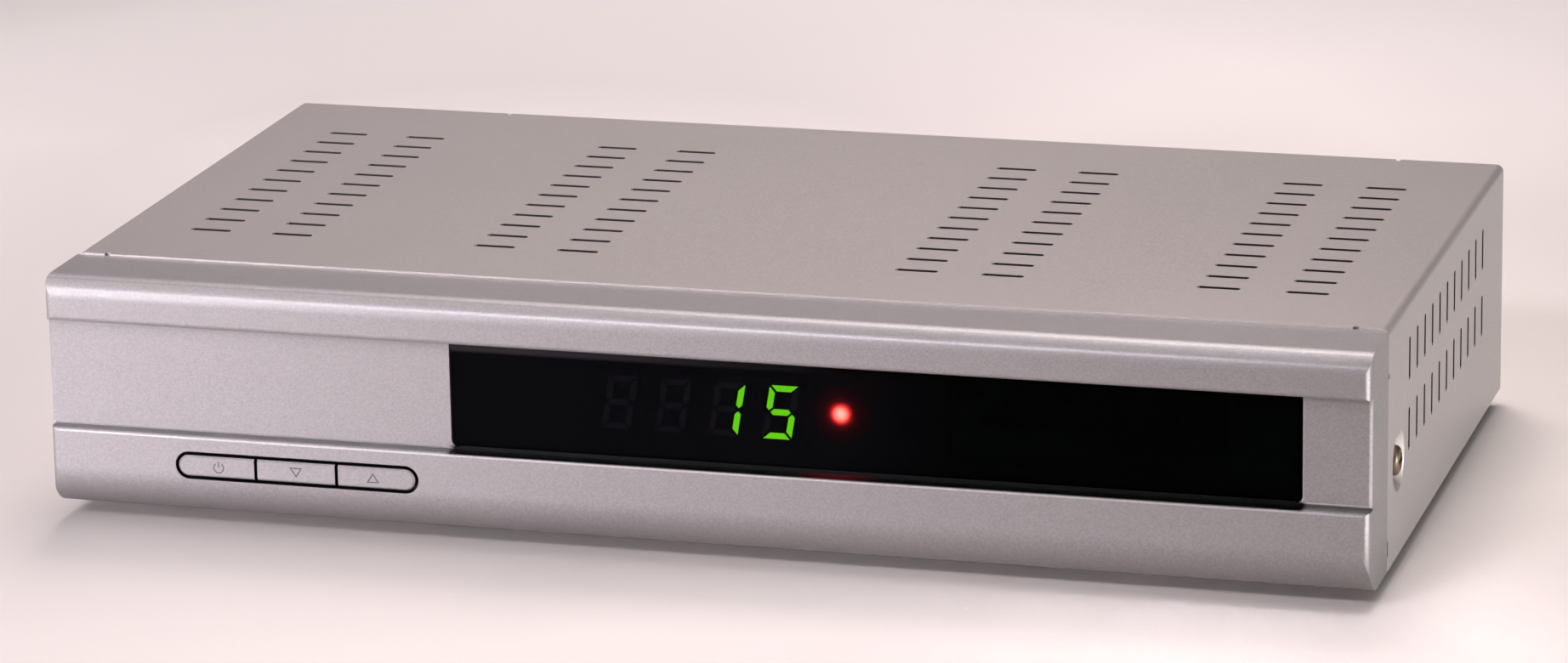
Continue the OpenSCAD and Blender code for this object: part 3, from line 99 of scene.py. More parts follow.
# Lamps that point straight down at the floor further off: name, place and size, then what they share
FAR_FILLS = (
    ("far_rear", (0.0, 2.0, 1.0), (4.0, 1.6)),
    ("far_front", (0.0, -2.0, 1.0), (4.0, 1.6)),
    ("far_left", (-1.9, 0.0, 1.0), (1.6, 2.0)),
    ("far_right", (1.9, 0.0, 1.0), (1.6, 2.0)),
)
FAR_POWER_PER_AREA = 1.3
FAR_SPREAD = 80.0


def middle_of(node):
    """The middle of a CAD node's box."""
    low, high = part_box(node)
    return [(a + b) / 2 for a, b in zip(low, high)]


# Shader helpers

def add(tree, kind, inputs=None, **settings):
    """Adds a shader node, sets its options, and sets or links its inputs."""
    made = tree.nodes.new("ShaderNode" + kind)
    for name, value in settings.items():
        setattr(made, name, value)
    for key, value in (inputs or {}).items():
        if isinstance(value, bpy.types.NodeSocket):
            tree.links.new(value, made.inputs[key])
        else:
            made.inputs[key].default_value = value
    return made


def start(name, **constants):
    """Starts a material: its tree, its main shader, and object coordinates in metres."""
    material = bpy.data.materials.new(name)
    material.use_nodes = True
    tree = material.node_tree
    tree.nodes.clear()
    shader = add(tree, "BsdfPrincipled")
    add(tree, "OutputMaterial", {"Surface": shader.outputs["BSDF"]})
    for key, value in constants.items():
        shader.inputs[key.replace("_", " ")].default_value = value
    return material, tree, shader, add(tree, "TexCoord").outputs["Object"]


def feed(tree, shader, **sources):
    """Links texture outputs to the main shader's inputs."""
    for key, source in sources.items():
        tree.links.new(source, shader.inputs[key.replace("_", " ")])


def noise(tree, place, scale, detail=2.0, stretch=None):
    """A cloudy value, with so many clouds in each metre, stretched where a factor is below one."""
    if stretch:
        place = add(tree, "Mapping", {"Vector": place, "Scale": stretch}).outputs[0]
    return add(tree, "TexNoise", {"Vector": place, "Scale": scale, "Detail": detail}).outputs[0]


def cells(tree, place, scale):
    """A random colour for each cell of a pattern without gaps."""
    return add(tree, "TexVoronoi", {"Vector": place, "Scale": scale}).outputs["Color"]


def shade(tree, factor, low, high, first=0.3, last=0.7):
    """A colour between two, by a texture value."""
    ramp = add(tree, "ValToRGB", {"Fac": factor})
    ends = ramp.color_ramp.elements
    ends[0].position, ends[1].position = first, last
    ends[0].color, ends[1].color = (*low, 1.0), (*high, 1.0)
    return ramp.outputs["Color"]


def span(tree, factor, low, high, first=0.3, last=0.7):
    """A number between two, by a texture value."""
    limits = {"Value": factor, "From Min": first, "From Max": last, "To Min": low, "To Max": high}
    return add(tree, "MapRange", limits).outputs["Result"]


def multiply(tree, colour, by):
    """A colour times a number or another colour."""
    both = add(tree, "Mix", data_type="RGBA", blend_type="MULTIPLY")
    both.inputs[0].default_value = 1.0
    tree.links.new(colour, both.inputs[6])
    tree.links.new(by, both.inputs[7])
    return both.outputs[2]


def blend(tree, factor, first, second):
    """The first colour where the factor is nothing, the second where it is one."""
    both = add(tree, "Mix", data_type="RGBA")
    tree.links.new(factor, both.inputs[0])
    for socket, colour in ((both.inputs[6], first), (both.inputs[7], second)):
        if isinstance(colour, bpy.types.NodeSocket):
            tree.links.new(colour, socket)
        else:
            socket.default_value = (*colour, 1.0)
    return both.outputs[2]


def bump(tree, height, strength, depth, under=None):
    """A surface direction made uneven by a texture value, on top of another one if given."""
    made = add(tree, "Bump", {"Height": height, "Strength": strength, "Distance": depth})
    if under:
        tree.links.new(under, made.inputs["Normal"])
    return made.outputs["Normal"]


def part_of(tree, place, axis):
    """One part of a place, direction or colour, by the axis letter."""
    return add(tree, "SeparateXYZ", {"Vector": place}).outputs[axis]


def maths(tree, operation, first, second=0.0):
    """One step of arithmetic on numbers or textures."""
    made = add(tree, "Math", operation=operation)
    for socket, value in zip(made.inputs, (first, second)):
        if isinstance(value, bpy.types.NodeSocket):
            tree.links.new(value, socket)
        else:
            socket.default_value = value
    return made.outputs[0]


def times(tree, first, *others):
    """The product of several numbers."""
    for other in others:
        first = maths(tree, "MULTIPLY", first, other)
    return first


def where(tree, mask, factor):
    """A factor that holds where the mask is one, and is one where the mask is nothing."""
    return span(tree, mask, 1.0, factor, 0.0, 1.0)


def between(tree, value, low, high, soft):
    """One between two limits, falling to nothing over a soft width outside them."""
    rise = span(tree, value, 0.0, 1.0, low - soft, low)
    fall = span(tree, value, 1.0, 0.0, high, high + soft)
    return times(tree, rise, fall)


def away_from(tree, place, centre):
    """The distance from a point."""
    return add(tree, "VectorMath", {0: place, 1: centre}, operation="DISTANCE").outputs["Value"]


def step_length(tree, across, upward):
    """The length of a step across and upward in the front plane."""
    return maths(tree, "SQRT", maths(tree, "ADD", times(tree, across, across), times(tree, upward, upward)))


def facing(tree, axis):
    """How far the surface faces along an axis, from -1 to 1."""
    return part_of(tree, add(tree, "NewGeometry").outputs["Normal"], axis)


def main_shader(material):
    """The shader that start() made."""
    return next(item for item in material.node_tree.nodes if item.type == "BSDF_PRINCIPLED")


def scaled(colour, by):
    """A colour made lighter or darker."""
    return tuple(min(1.0, part * by) for part in colour)


# Finishes

def flaked_paint(name, colour, metallic, roughness, tilt, flake, coat, coat_roughness, wear_and_painted_light):
    """Silver paint: flakes that lie a little out of level under a clear coat with a fine orange peel.

    tilt is how far the flakes lean, and flake how much they differ in tone. wear gives painted shade and
    painted highlights as a factor on the colour by place. Where it is near nothing, the gloss goes too.
    """
    flakes_per_metre, drifts_per_metre, peel_per_metre = 3600.0, 18.0, 900.0
    peel_depth, drift_tone, rough_change = 0.00002, 0.015, 0.04
    material, tree, shader, place = start(name, Coat_Weight=coat, Coat_Roughness=coat_roughness)
    flakes = cells(tree, place, flakes_per_metre)
    grain = span(tree, part_of(tree, flakes, "X"), 1.0 - flake, 1.0 + flake, 0.0, 1.0)
    drift = noise(tree, place, drifts_per_metre, 3.0)
    tone = shade(tree, drift, scaled(colour, 1.0 - drift_tone), scaled(colour, 1.0 + drift_tone))
    level = add(tree, "VectorMath", {0: flakes, 1: (0.5, 0.5, 0.5)}, operation="SUBTRACT").outputs[0]
    lean = add(tree, "VectorMath", {0: level, "Scale": tilt}, operation="SCALE").outputs[0]
    upright = add(tree, "NewGeometry").outputs["Normal"]
    leaning = add(tree, "VectorMath", {0: lean, 1: upright}, operation="ADD").outputs[0]
    normal = add(tree, "VectorMath", {0: leaning}, operation="NORMALIZE").outputs[0]
    peel = noise(tree, place, peel_per_metre)
    haze = noise(tree, place, 1400.0, 3.0)
    # Painted shade and painted highlights, as a factor on the colour and on the metal
    painted_light_factor = wear_and_painted_light(tree, place)
    feed(tree, shader, Base_Color=multiply(tree, multiply(tree, tone, grain), painted_light_factor),
         Metallic=span(tree, painted_light_factor, 1.0, metallic, 0.05, 0.4),
         Roughness=span(tree, haze, roughness - rough_change, roughness + rough_change),
         Normal=bump(tree, peel, 0.12, peel_depth, normal))
    return material


def cover_painted_light(tree, place):
    """Painted shade and painted highlights on the cover's paint, as a factor by place.

    Painted shade darkens the walls of the slots, except for the notches in the front edge. Painted
    highlights brighten the front edge, its cut face (more so to the right) and the part of the screw dish
    that faces forward. The back face is left as it is.
    """
    slot_tone, edge_tone, dish_tone = 0.06, 1.10, 2.1
    cut_tone_left, cut_tone_right, cut_reach = 1.25, 1.9, 120.0 * MM
    notch_depth, dish_reach = 2.6 * MM, 6.0 * MM
    front, rear = (corner[1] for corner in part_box("top_cover"))
    along = part_of(tree, place, "Y")
    outward = maths(tree, "MAXIMUM", facing(tree, "Z"), maths(tree, "ABSOLUTE", facing(tree, "X")))
    # Painted shade on the slot walls; the notches near the front edge keep their colour
    slot_shade = maths(tree, "MAXIMUM", span(tree, outward, slot_tone, 1.0, 0.3, 0.6),
                 span(tree, along, 1.0, 0.0, front + notch_depth, front + notch_depth + 0.4 * MM))
    # Painted highlights on the front edge and on the forward face of the screw dish
    edge = span(tree, along, edge_tone, 1.0, front + 0.3 * MM, front + 1.0 * MM)
    forward = span(tree, facing(tree, "Y"), 1.0, 0.0, -0.5, -0.2)
    dish = times(tree, forward, maths(tree, "LESS_THAN", away_from(tree, place, DISH), dish_reach))
    painted = times(tree, slot_shade, edge, where(tree, dish, dish_tone))
    # Painted highlight on the cut face, brighter to the right
    cut_face = span(tree, along, 1.0, 0.0, front + ON_FACE, front + 2 * ON_FACE)
    cut_tone = span(tree, part_of(tree, place, "X"), cut_tone_left, cut_tone_right, -cut_reach, cut_reach)
    back = maths(tree, "GREATER_THAN", along, rear - ON_FACE)
    return maths(tree, "MAXIMUM", painted, maths(tree, "MAXIMUM", times(tree, cut_face, cut_tone), back))


def key_gap_shade(tree, parts):
    """One in the gaps round and between the keys, for painted shade, by the distance from the opening's rim.
    """
    ring_over, split_over, soft = 0.06 * MM, 0.04 * MM, 0.06 * MM
    rim = PILL_HEIGHT / 2
    key = middle_of("channel_down_button")
    across = maths(tree, "ABSOLUTE", maths(tree, "SUBTRACT", parts["X"], key[0]))
    upward = maths(tree, "SUBTRACT", parts["Z"], key[2])
    past = maths(tree, "MAXIMUM", maths(tree, "SUBTRACT", across, PILL_LENGTH / 2 - rim), 0.0)
    reach = step_length(tree, past, upward)
    ring = between(tree, reach, rim - KEY_GAP - ring_over, rim + ring_over, soft)
    aside = maths(tree, "ABSOLUTE", maths(tree, "SUBTRACT", across, KEY_STEP / 2))
    half_split = KEY_GAP / 2 + split_over
    split = times(tree, span(tree, aside, 1.0, 0.0, half_split, half_split + soft),
                  span(tree, reach, 1.0, 0.0, rim, rim + soft))
    return maths(tree, "MAXIMUM", ring, split)


def on_middle_band(tree, parts):
    """One on the front face of the middle band."""
    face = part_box("front_bezel")[0][1] + BAND_STEP
    return between(tree, parts["Y"], face - 0.1 * MM, face + 0.3 * MM, ON_FACE)


def right_edges(tree, parts):
    """One along the upright edges at the right end of the bands, for a painted highlight there."""
    low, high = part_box("front_bezel")
    bands = times(tree, between(tree, facing(tree, "X"), 0.5, 0.72, 0.16),
                  span(tree, parts["Z"], 0.0, 1.0, 8.0 * MM, 16.0 * MM))
    corner = maths(tree, "ADD", maths(tree, "SUBTRACT", high[0], parts["X"]),
                   maths(tree, "SUBTRACT", parts["Y"], low[1] + BAND_STEP))
    middle = times(tree, span(tree, corner, 1.0, 0.0, 0.3 * MM, 0.65 * MM),
                   between(tree, parts["Z"], *MIDDLE_BAND, 0.1 * MM))
    right = maths(tree, "GREATER_THAN", parts["X"], 0.0)
    return times(tree, maths(tree, "MAXIMUM", bands, middle), right)


def bezel_painted_shade(tree, parts):
    """Painted shade in the key gaps, on the ledge under the window and at the foot, more so to the left."""
    gap_tone, foot_left, foot_right, foot_reach = 0.02, 0.58, 0.26, 115.0 * MM
    foot_low, foot_high = 3.0 * MM, 12.0 * MM
    left, right = (corner[0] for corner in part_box("display_window"))
    ledge = times(tree, between(tree, parts["Z"], *LEDGE, 0.35 * MM),
                  between(tree, parts["X"], left + WINDOW_FLANGE, right - WINDOW_FLANGE, 1.0 * MM))
    foot = times(tree, span(tree, parts["Z"], 1.0, 0.0, foot_low, foot_high),
                 span(tree, parts["X"], foot_left, foot_right, -foot_reach, foot_reach))
    return times(tree, where(tree, key_gap_shade(tree, parts), gap_tone), where(tree, ledge, gap_tone),
                 maths(tree, "SUBTRACT", 1.0, foot))


def facing_shade(tree, parts):
    """Painted shade on faces that see little light: the ends, the tops and the strip under the upper band.
    """
    end_tone, turn_tone, top_tone, strip_tone = 0.86, 0.60, 0.86, 0.84
    strip_from = 36.5 * MM
    sideways = facing(tree, "X")
    right_end = span(tree, sideways, 1.0, end_tone, 0.92, 0.99)
    left_turn = span(tree, sideways, turn_tone, 1.0, -0.85, -0.35)
    top = span(tree, facing(tree, "Z"), 1.0, top_tone, 0.95, 0.995)
    strip = times(tree, on_middle_band(tree, parts),
                  span(tree, parts["Z"], 0.0, 1.0, strip_from, MIDDLE_BAND[1]))
    return times(tree, right_end, left_turn, top, where(tree, strip, strip_tone))


def painted_highlights(tree, parts):
    """Painted highlights on edges: the right ends, the sill and right jamb of the window, and the lower lip.
    """
    edge_tone, lip_tone, jamb_tone = 2.5, 1.25, 1.4
    sill_tone_left, sill_tone_right = 1.12, 1.7
    sill_from, jamb_from = MIDDLE_BAND[0] - 0.05 * MM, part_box("display_window")[1][0] - WINDOW_FLANGE
    on_band = on_middle_band(tree, parts)
    sill = times(tree, on_band, between(tree, parts["Z"], sill_from, sill_from + 0.25 * MM, 0.1 * MM),
                 span(tree, parts["X"], sill_tone_left, sill_tone_right, -50.0 * MM, 120.0 * MM))
    jamb = times(tree, on_band, between(tree, parts["X"], jamb_from, jamb_from + 0.3 * MM, 0.1 * MM))
    lip = times(tree, between(tree, facing(tree, "Z"), 0.15, 0.6, 0.1),
                between(tree, parts["Z"], LEDGE[0] - 0.6 * MM, LEDGE[0], ON_FACE))
    brightest = where(tree, right_edges(tree, parts), edge_tone)
    for tone in (sill, where(tree, lip, lip_tone), where(tree, jamb, jamb_tone)):
        brightest = maths(tree, "MAXIMUM", brightest, tone)
    return brightest


def bezel_painted_light(tree, place):
    """Painted shade and painted highlights on the bezel's paint, as a factor by place."""
    parts = add(tree, "SeparateXYZ", {"Vector": place}).outputs
    return times(tree, bezel_painted_shade(tree, parts), facing_shade(tree, parts), painted_highlights(tree, parts))


def dull_flanks(material, coat):
    """Thins the clear coat on the ends of a piece, which see only the floor."""
    tree = material.node_tree
    across = maths(tree, "ABSOLUTE", facing(tree, "X"))
    feed(tree, main_shader(material), Coat_Weight=span(tree, across, coat, 0.15 * coat, 0.92, 0.99))


def painted_red_glow(material):
    """A painted glow: the lamp's red light on the edges of the bezel above and below it."""
    tree, shader = material.node_tree, main_shader(material)
    place = add(tree, "TexCoord").outputs["Object"]
    near = maths(tree, "POWER", lamp_glow(tree, place, middle_of("standby_lamp"), 14.0 * MM), 2.0)
    level = maths(tree, "ABSOLUTE", facing(tree, "Z"))
    feed(tree, shader, Emission_Color=blend(tree, times(tree, near, level), UNLIT, (0.9, 0.03, 0.05)))
    shader.inputs["Emission Strength"].default_value = 1.0


def zinc_sheet(name):
    """Galvanised sheet: spangle a few millimetres across."""
    material, tree, shader, place = start(name, Metallic=1.0)
    spangle = cells(tree, place, 260.0)
    mottle = span(tree, part_of(tree, spangle, "X"), 0.86, 1.08, 0.0, 1.0)
    streaks = noise(tree, place, 500.0, 3.0, (0.2, 1.0, 1.0))
    tone = shade(tree, streaks, (0.56, 0.57, 0.59), (0.66, 0.67, 0.68))
    feed(tree, shader, Base_Color=multiply(tree, tone, mottle),
         Roughness=span(tree, part_of(tree, spangle, "Y"), 0.32, 0.46, 0.0, 1.0),
         Normal=bump(tree, streaks, 0.08, 0.00002))
    return material


def metal(name, colour, roughness, stretch=(1.0, 1.0, 1.0)):
    """Plated or bare metal with fine drawing marks, longer along an axis whose stretch is below one."""
    marks_per_metre, mark_depth = 900.0, 0.00001
    material, tree, shader, place = start(name, Metallic=1.0)
    marks = noise(tree, place, marks_per_metre, 3.0, stretch)
    tarnish = noise(tree, place, 120.0, 2.0)
    tone = multiply(tree, shade(tree, marks, scaled(colour, 0.93), scaled(colour, 1.05)),
                    span(tree, tarnish, 0.93, 1.03))
    feed(tree, shader, Base_Color=tone, Roughness=span(tree, marks, roughness - 0.06, roughness + 0.08),
         Normal=bump(tree, marks, 0.15, mark_depth))
    return material


def moulding(name, colour, roughness=0.45, grains_per_metre=1500.0, depth=0.00003):
    """Moulded plastic: a spark-eroded grain and a faint unevenness of colour."""
    material, tree, shader, place = start(name)
    grain = noise(tree, place, grains_per_metre)
    flow = noise(tree, place, 60.0, 3.0)
    feed(tree, shader, Base_Color=shade(tree, flow, scaled(colour, 0.9), scaled(colour, 1.08)),
         Roughness=span(tree, grain, roughness - 0.05, roughness + 0.07),
         Normal=bump(tree, grain, 0.25, depth))
    return material


def rubber(name):
    """Black rubber with dust on it."""
    material, tree, shader, place = start(name)
    dust = noise(tree, place, 350.0, 4.0)
    feed(tree, shader, Base_Color=shade(tree, dust, (0.018, 0.018, 0.019), (0.05, 0.05, 0.052), 0.35, 0.8),
         Roughness=span(tree, dust, 0.72, 0.9), Normal=bump(tree, dust, 0.3, 0.00005))
    return material


def laminate(name, mask, track):
    """Circuit board: copper tracks that show through the lacquer."""
    material, tree, shader, place = start(name)
    turned = add(tree, "Mapping", {"Vector": place, "Rotation": (0.0, 0.0, math.pi / 4)}).outputs[0]
    grid = add(tree, "TexVoronoi", {"Vector": turned, "Scale": 210.0, "Randomness": 0.6},
               distance="CHEBYCHEV", feature="F1").outputs["Distance"]
    tracks = span(tree, maths(tree, "PINGPONG", grid, 0.12), 0.0, 1.0, 0.05, 0.07)
    weave = noise(tree, place, 1600.0, 2.0)
    lacquer = shade(tree, weave, scaled(mask, 0.9), scaled(mask, 1.1))
    feed(tree, shader, Base_Color=blend(tree, tracks, lacquer, track),
         Roughness=span(tree, weave, 0.28, 0.4), Normal=bump(tree, tracks, 0.3, 0.00003))
    return material


def lit_segment(name, colour, strength):
    """A lit readout bar, a little brighter where its chips sit."""
    material, tree, shader, place = start(name, Roughness=0.35, Emission_Strength=strength)
    chips = noise(tree, place, 700.0, 2.0)
    feed(tree, shader, Base_Color=shade(tree, chips, scaled(colour, 0.5), scaled(colour, 0.6)),
         Emission_Color=shade(tree, chips, scaled(colour, 0.92), colour))
    return material


def dark_segment(name):
    """An unlit readout bar: pale plastic with a faint painted glow, standing for the light round it."""
    material, tree, shader, place = start(name, Roughness=0.4, Emission_Strength=0.12)
    cloud = noise(tree, place, 900.0, 2.0)
    feed(tree, shader, Base_Color=shade(tree, cloud, (0.10, 0.11, 0.09), (0.14, 0.15, 0.12)),
         Emission_Color=shade(tree, cloud, (0.9, 0.8, 0.85), (1.0, 0.92, 0.95)))
    return material


def ribbon(name, colour, other, pitch, axis):
    """Flat cable: one ridge and one tone for each wire, with painted shade in the grooves between them."""
    material, tree, shader, place = start(name, Roughness=0.45)
    across = part_of(tree, place, axis)
    wires = maths(tree, "PINGPONG", across, pitch / 2)
    which = maths(tree, "PINGPONG", across, pitch * 4)
    tone = blend(tree, span(tree, which, 0.0, 1.0, pitch * 3.4, pitch * 3.5), colour, other)
    shadow = span(tree, wires, 0.7, 1.0, 0.0, pitch / 6)
    feed(tree, shader, Base_Color=multiply(tree, tone, shadow),
         Normal=bump(tree, span(tree, wires, 0.0, 1.0, 0.0, pitch / 2), 0.6, 0.0003))
    return material


def can_sleeve(name, colour):
    """Capacitor: a shrink sleeve with a pale stripe, and a bare top."""
    material, tree, shader, place = start(name)
    top = span(tree, facing(tree, "Z"), 0.0, 1.0, 0.8, 0.95)
    stripe = span(tree, facing(tree, "X"), 0.0, 1.0, 0.82, 0.86)
    film = noise(tree, place, 400.0, 2.0)
    sleeve = shade(tree, film, scaled(colour, 0.85), scaled(colour, 1.15))
    striped = blend(tree, stripe, sleeve, (0.45, 0.47, 0.52))
    feed(tree, shader, Base_Color=blend(tree, top, striped, (0.70, 0.71, 0.72)), Metallic=top,
         Roughness=span(tree, film, 0.25, 0.36), Normal=bump(tree, film, 0.1, 0.00003))
    return material


def film_sheet(name):
    """Milky plastic film."""
    material, tree, shader, place = start(name, Roughness=0.4, Alpha=0.85)
    cloud = noise(tree, place, 150.0, 3.0)
    feed(tree, shader, Base_Color=shade(tree, cloud, (0.72, 0.72, 0.69), (0.82, 0.82, 0.80)),
         Normal=bump(tree, cloud, 0.15, 0.0001))
    return material


def glass_fuse(name):
    """A glass tube with nickel end caps, told apart by the distance from its middle."""
    low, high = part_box("fuse")
    middle = (low[0] + high[0]) / 2
    cap_length = 5.0 * MM
    glass_half = (high[0] - low[0]) / 2 - cap_length
    material, tree, shader, place = start(name, Roughness=0.12, IOR=1.5)
    along = maths(tree, "ABSOLUTE", maths(tree, "SUBTRACT", part_of(tree, place, "X"), middle))
    cap = maths(tree, "GREATER_THAN", along, glass_half)
    cloud = noise(tree, place, 500.0, 2.0)
    feed(tree, shader, Metallic=cap, Transmission_Weight=maths(tree, "SUBTRACT", 1.0, cap),
         Base_Color=blend(tree, cap, (0.92, 0.95, 0.95),
                          shade(tree, cloud, (0.66, 0.65, 0.61), (0.75, 0.74, 0.70))))
    return material


def winding(name, colour, pitch, axis):
    """Turns of wire or tape, as fine ridges with painted shade between them."""
    material, tree, shader, place = start(name)
    ridge = maths(tree, "PINGPONG", part_of(tree, place, axis), pitch / 2)
    turns = span(tree, ridge, 0.0, 1.0, 0.0, pitch / 2)
    age = noise(tree, place, 300.0, 3.0)
    tone = multiply(tree, shade(tree, age, scaled(colour, 0.85), scaled(colour, 1.1)),
                    span(tree, turns, 0.6, 1.0, 0.0, 0.4))
    feed(tree, shader, Base_Color=tone, Roughness=span(tree, age, 0.3, 0.45),
         Normal=bump(tree, turns, 0.6, 0.0002))
    return material


def lamp_glow(tree, place, centre, radius):
    """One at the lamp's axis, falling to nothing at a radius from it, in the front plane."""
    parts = add(tree, "SeparateXYZ", {"Vector": place}).outputs
    across = maths(tree, "SUBTRACT", parts["X"], centre[0])
    upward = maths(tree, "SUBTRACT", parts["Z"], centre[2])
    return span(tree, step_length(tree, across, upward), 1.0, 0.0, 0.0, radius)


def painted_lamp_spot(tree, place, lamp):
    """The painted glow of the lamp's spot as it shows through the window: a hot middle, a red ring, a faint
    halo.
    """
    rings = ((6.0, UNLIT), (3.4, (0.009, 0.0, 0.0)), (2.45, (0.045, 0.001, 0.001)),
             (2.0, (0.24, 0.004, 0.004)), (1.65, (0.85, 0.022, 0.018)), (1.35, (1.0, 0.13, 0.09)),
             (0.75, (1.0, 0.38, 0.25)), (0.0, (1.0, 0.56, 0.40)))
    widest = rings[0][0]
    spot = add(tree, "ValToRGB", {"Fac": lamp_glow(tree, place, lamp, widest * MM)})
    stops = spot.color_ramp.elements
    while len(stops) < len(rings):
        stops.new(0.5)
    for stop, (radius, colour) in zip(stops, rings):
        stop.position = 1.0 - radius / widest
        stop.color = (*colour, 1.0)
    return spot.outputs["Color"]


def smoked_window(name):
    """Smoked acrylic: dark, clear enough for what is lit behind it, with the lamp's spot painted as a glow
    on its rear face.

    A faint painted sheen, also drawn as a glow, lies along its upper edge, left of the lamp. Right of the
    lamp it is a little clearer.
    """
    sheen_low, sheen_high, sheen_length = 1.1 * MM, 0.5 * MM, 60.0 * MM
    clear_from, clear_to, clear_length = 0.938, 0.985, 25.0 * MM
    lamp = middle_of("standby_lamp")
    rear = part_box("display_window")[1][1]
    material, tree, shader, place = start(name, IOR=1.05, Emission_Strength=6.4)
    across = part_of(tree, place, "X")
    haze = noise(tree, place, 40.0)
    at_rear = maths(tree, "GREATER_THAN", part_of(tree, place, "Y"), rear - ON_FACE)
    upper_edge = times(tree, between(tree, part_of(tree, place, "Z"), MIDDLE_BAND[1] - sheen_low,
                                     MIDDLE_BAND[1] - sheen_high, 0.6 * MM),
                       span(tree, across, 1.0, 0.0, lamp[0] - sheen_length, lamp[0]))
    # Painted sheen: a faint glow along the upper edge, left of the lamp
    sheen = blend(tree, upper_edge, UNLIT, (0.0042, 0.0034, 0.0042))
    feed(tree, shader, Base_Color=shade(tree, haze, (0.0285, 0.0275, 0.036), (0.0315, 0.0305, 0.039)),
         Transmission_Weight=span(tree, across, clear_from, clear_to, lamp[0], lamp[0] + clear_length),
         Roughness=span(tree, noise(tree, place, 25.0), 0.01, 0.03),
         Emission_Color=blend(tree, at_rear, sheen, painted_lamp_spot(tree, place, lamp)))
    return material


def standby_glow(name):
    """A lit lamp: a hot middle in a red dome, with the body behind the dome left dark."""
    low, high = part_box("standby_lamp")
    lamp = middle_of("standby_lamp")
    dome = (high[0] - low[0]) / 2
    material, tree, shader, place = start(name, Roughness=0.2, Emission_Strength=6.0)
    near = lamp_glow(tree, place, lamp, dome)
    ahead = span(tree, part_of(tree, place, "Y"), 1.0, 0.0, low[1] + 0.5 * dome, low[1] + 1.0 * dome)
    colour = shade(tree, near, (0.62, 0.012, 0.009), (1.0, 0.23, 0.155), 0.2, 0.8)
    cloud = noise(tree, place, 500.0)
    feed(tree, shader, Base_Color=shade(tree, cloud, (0.55, 0.03, 0.02), (0.65, 0.04, 0.03)),
         Emission_Color=blend(tree, ahead, UNLIT, colour))
    return material


def floor_finish(name):
    """Pale paper of a faintly uneven tone, with patches of painted shade and painted light."""
    material, tree, shader, place = start(name, Roughness=0.75)
    cloud = noise(tree, place, 6.0)
    paper = shade(tree, cloud, (0.803, 0.730, 0.693), (0.818, 0.745, 0.708))
    # Patches of painted shade and painted light round the lamps' pools and the case's shadows
    for centre, tone, reach in FLOOR_PAINTED_LIGHT:
        offset = away_from(tree, place, (*centre, 0.0))
        paper = multiply(tree, paper, span(tree, offset, tone, 1.0, *reach))
    feed(tree, shader, Base_Color=paper)
    return material


def give(material, *nodes):
    """Puts a material on the CAD nodes named."""
    for name in nodes:
        for slot in bpy.data.objects[name].material_slots:
            slot.material = material


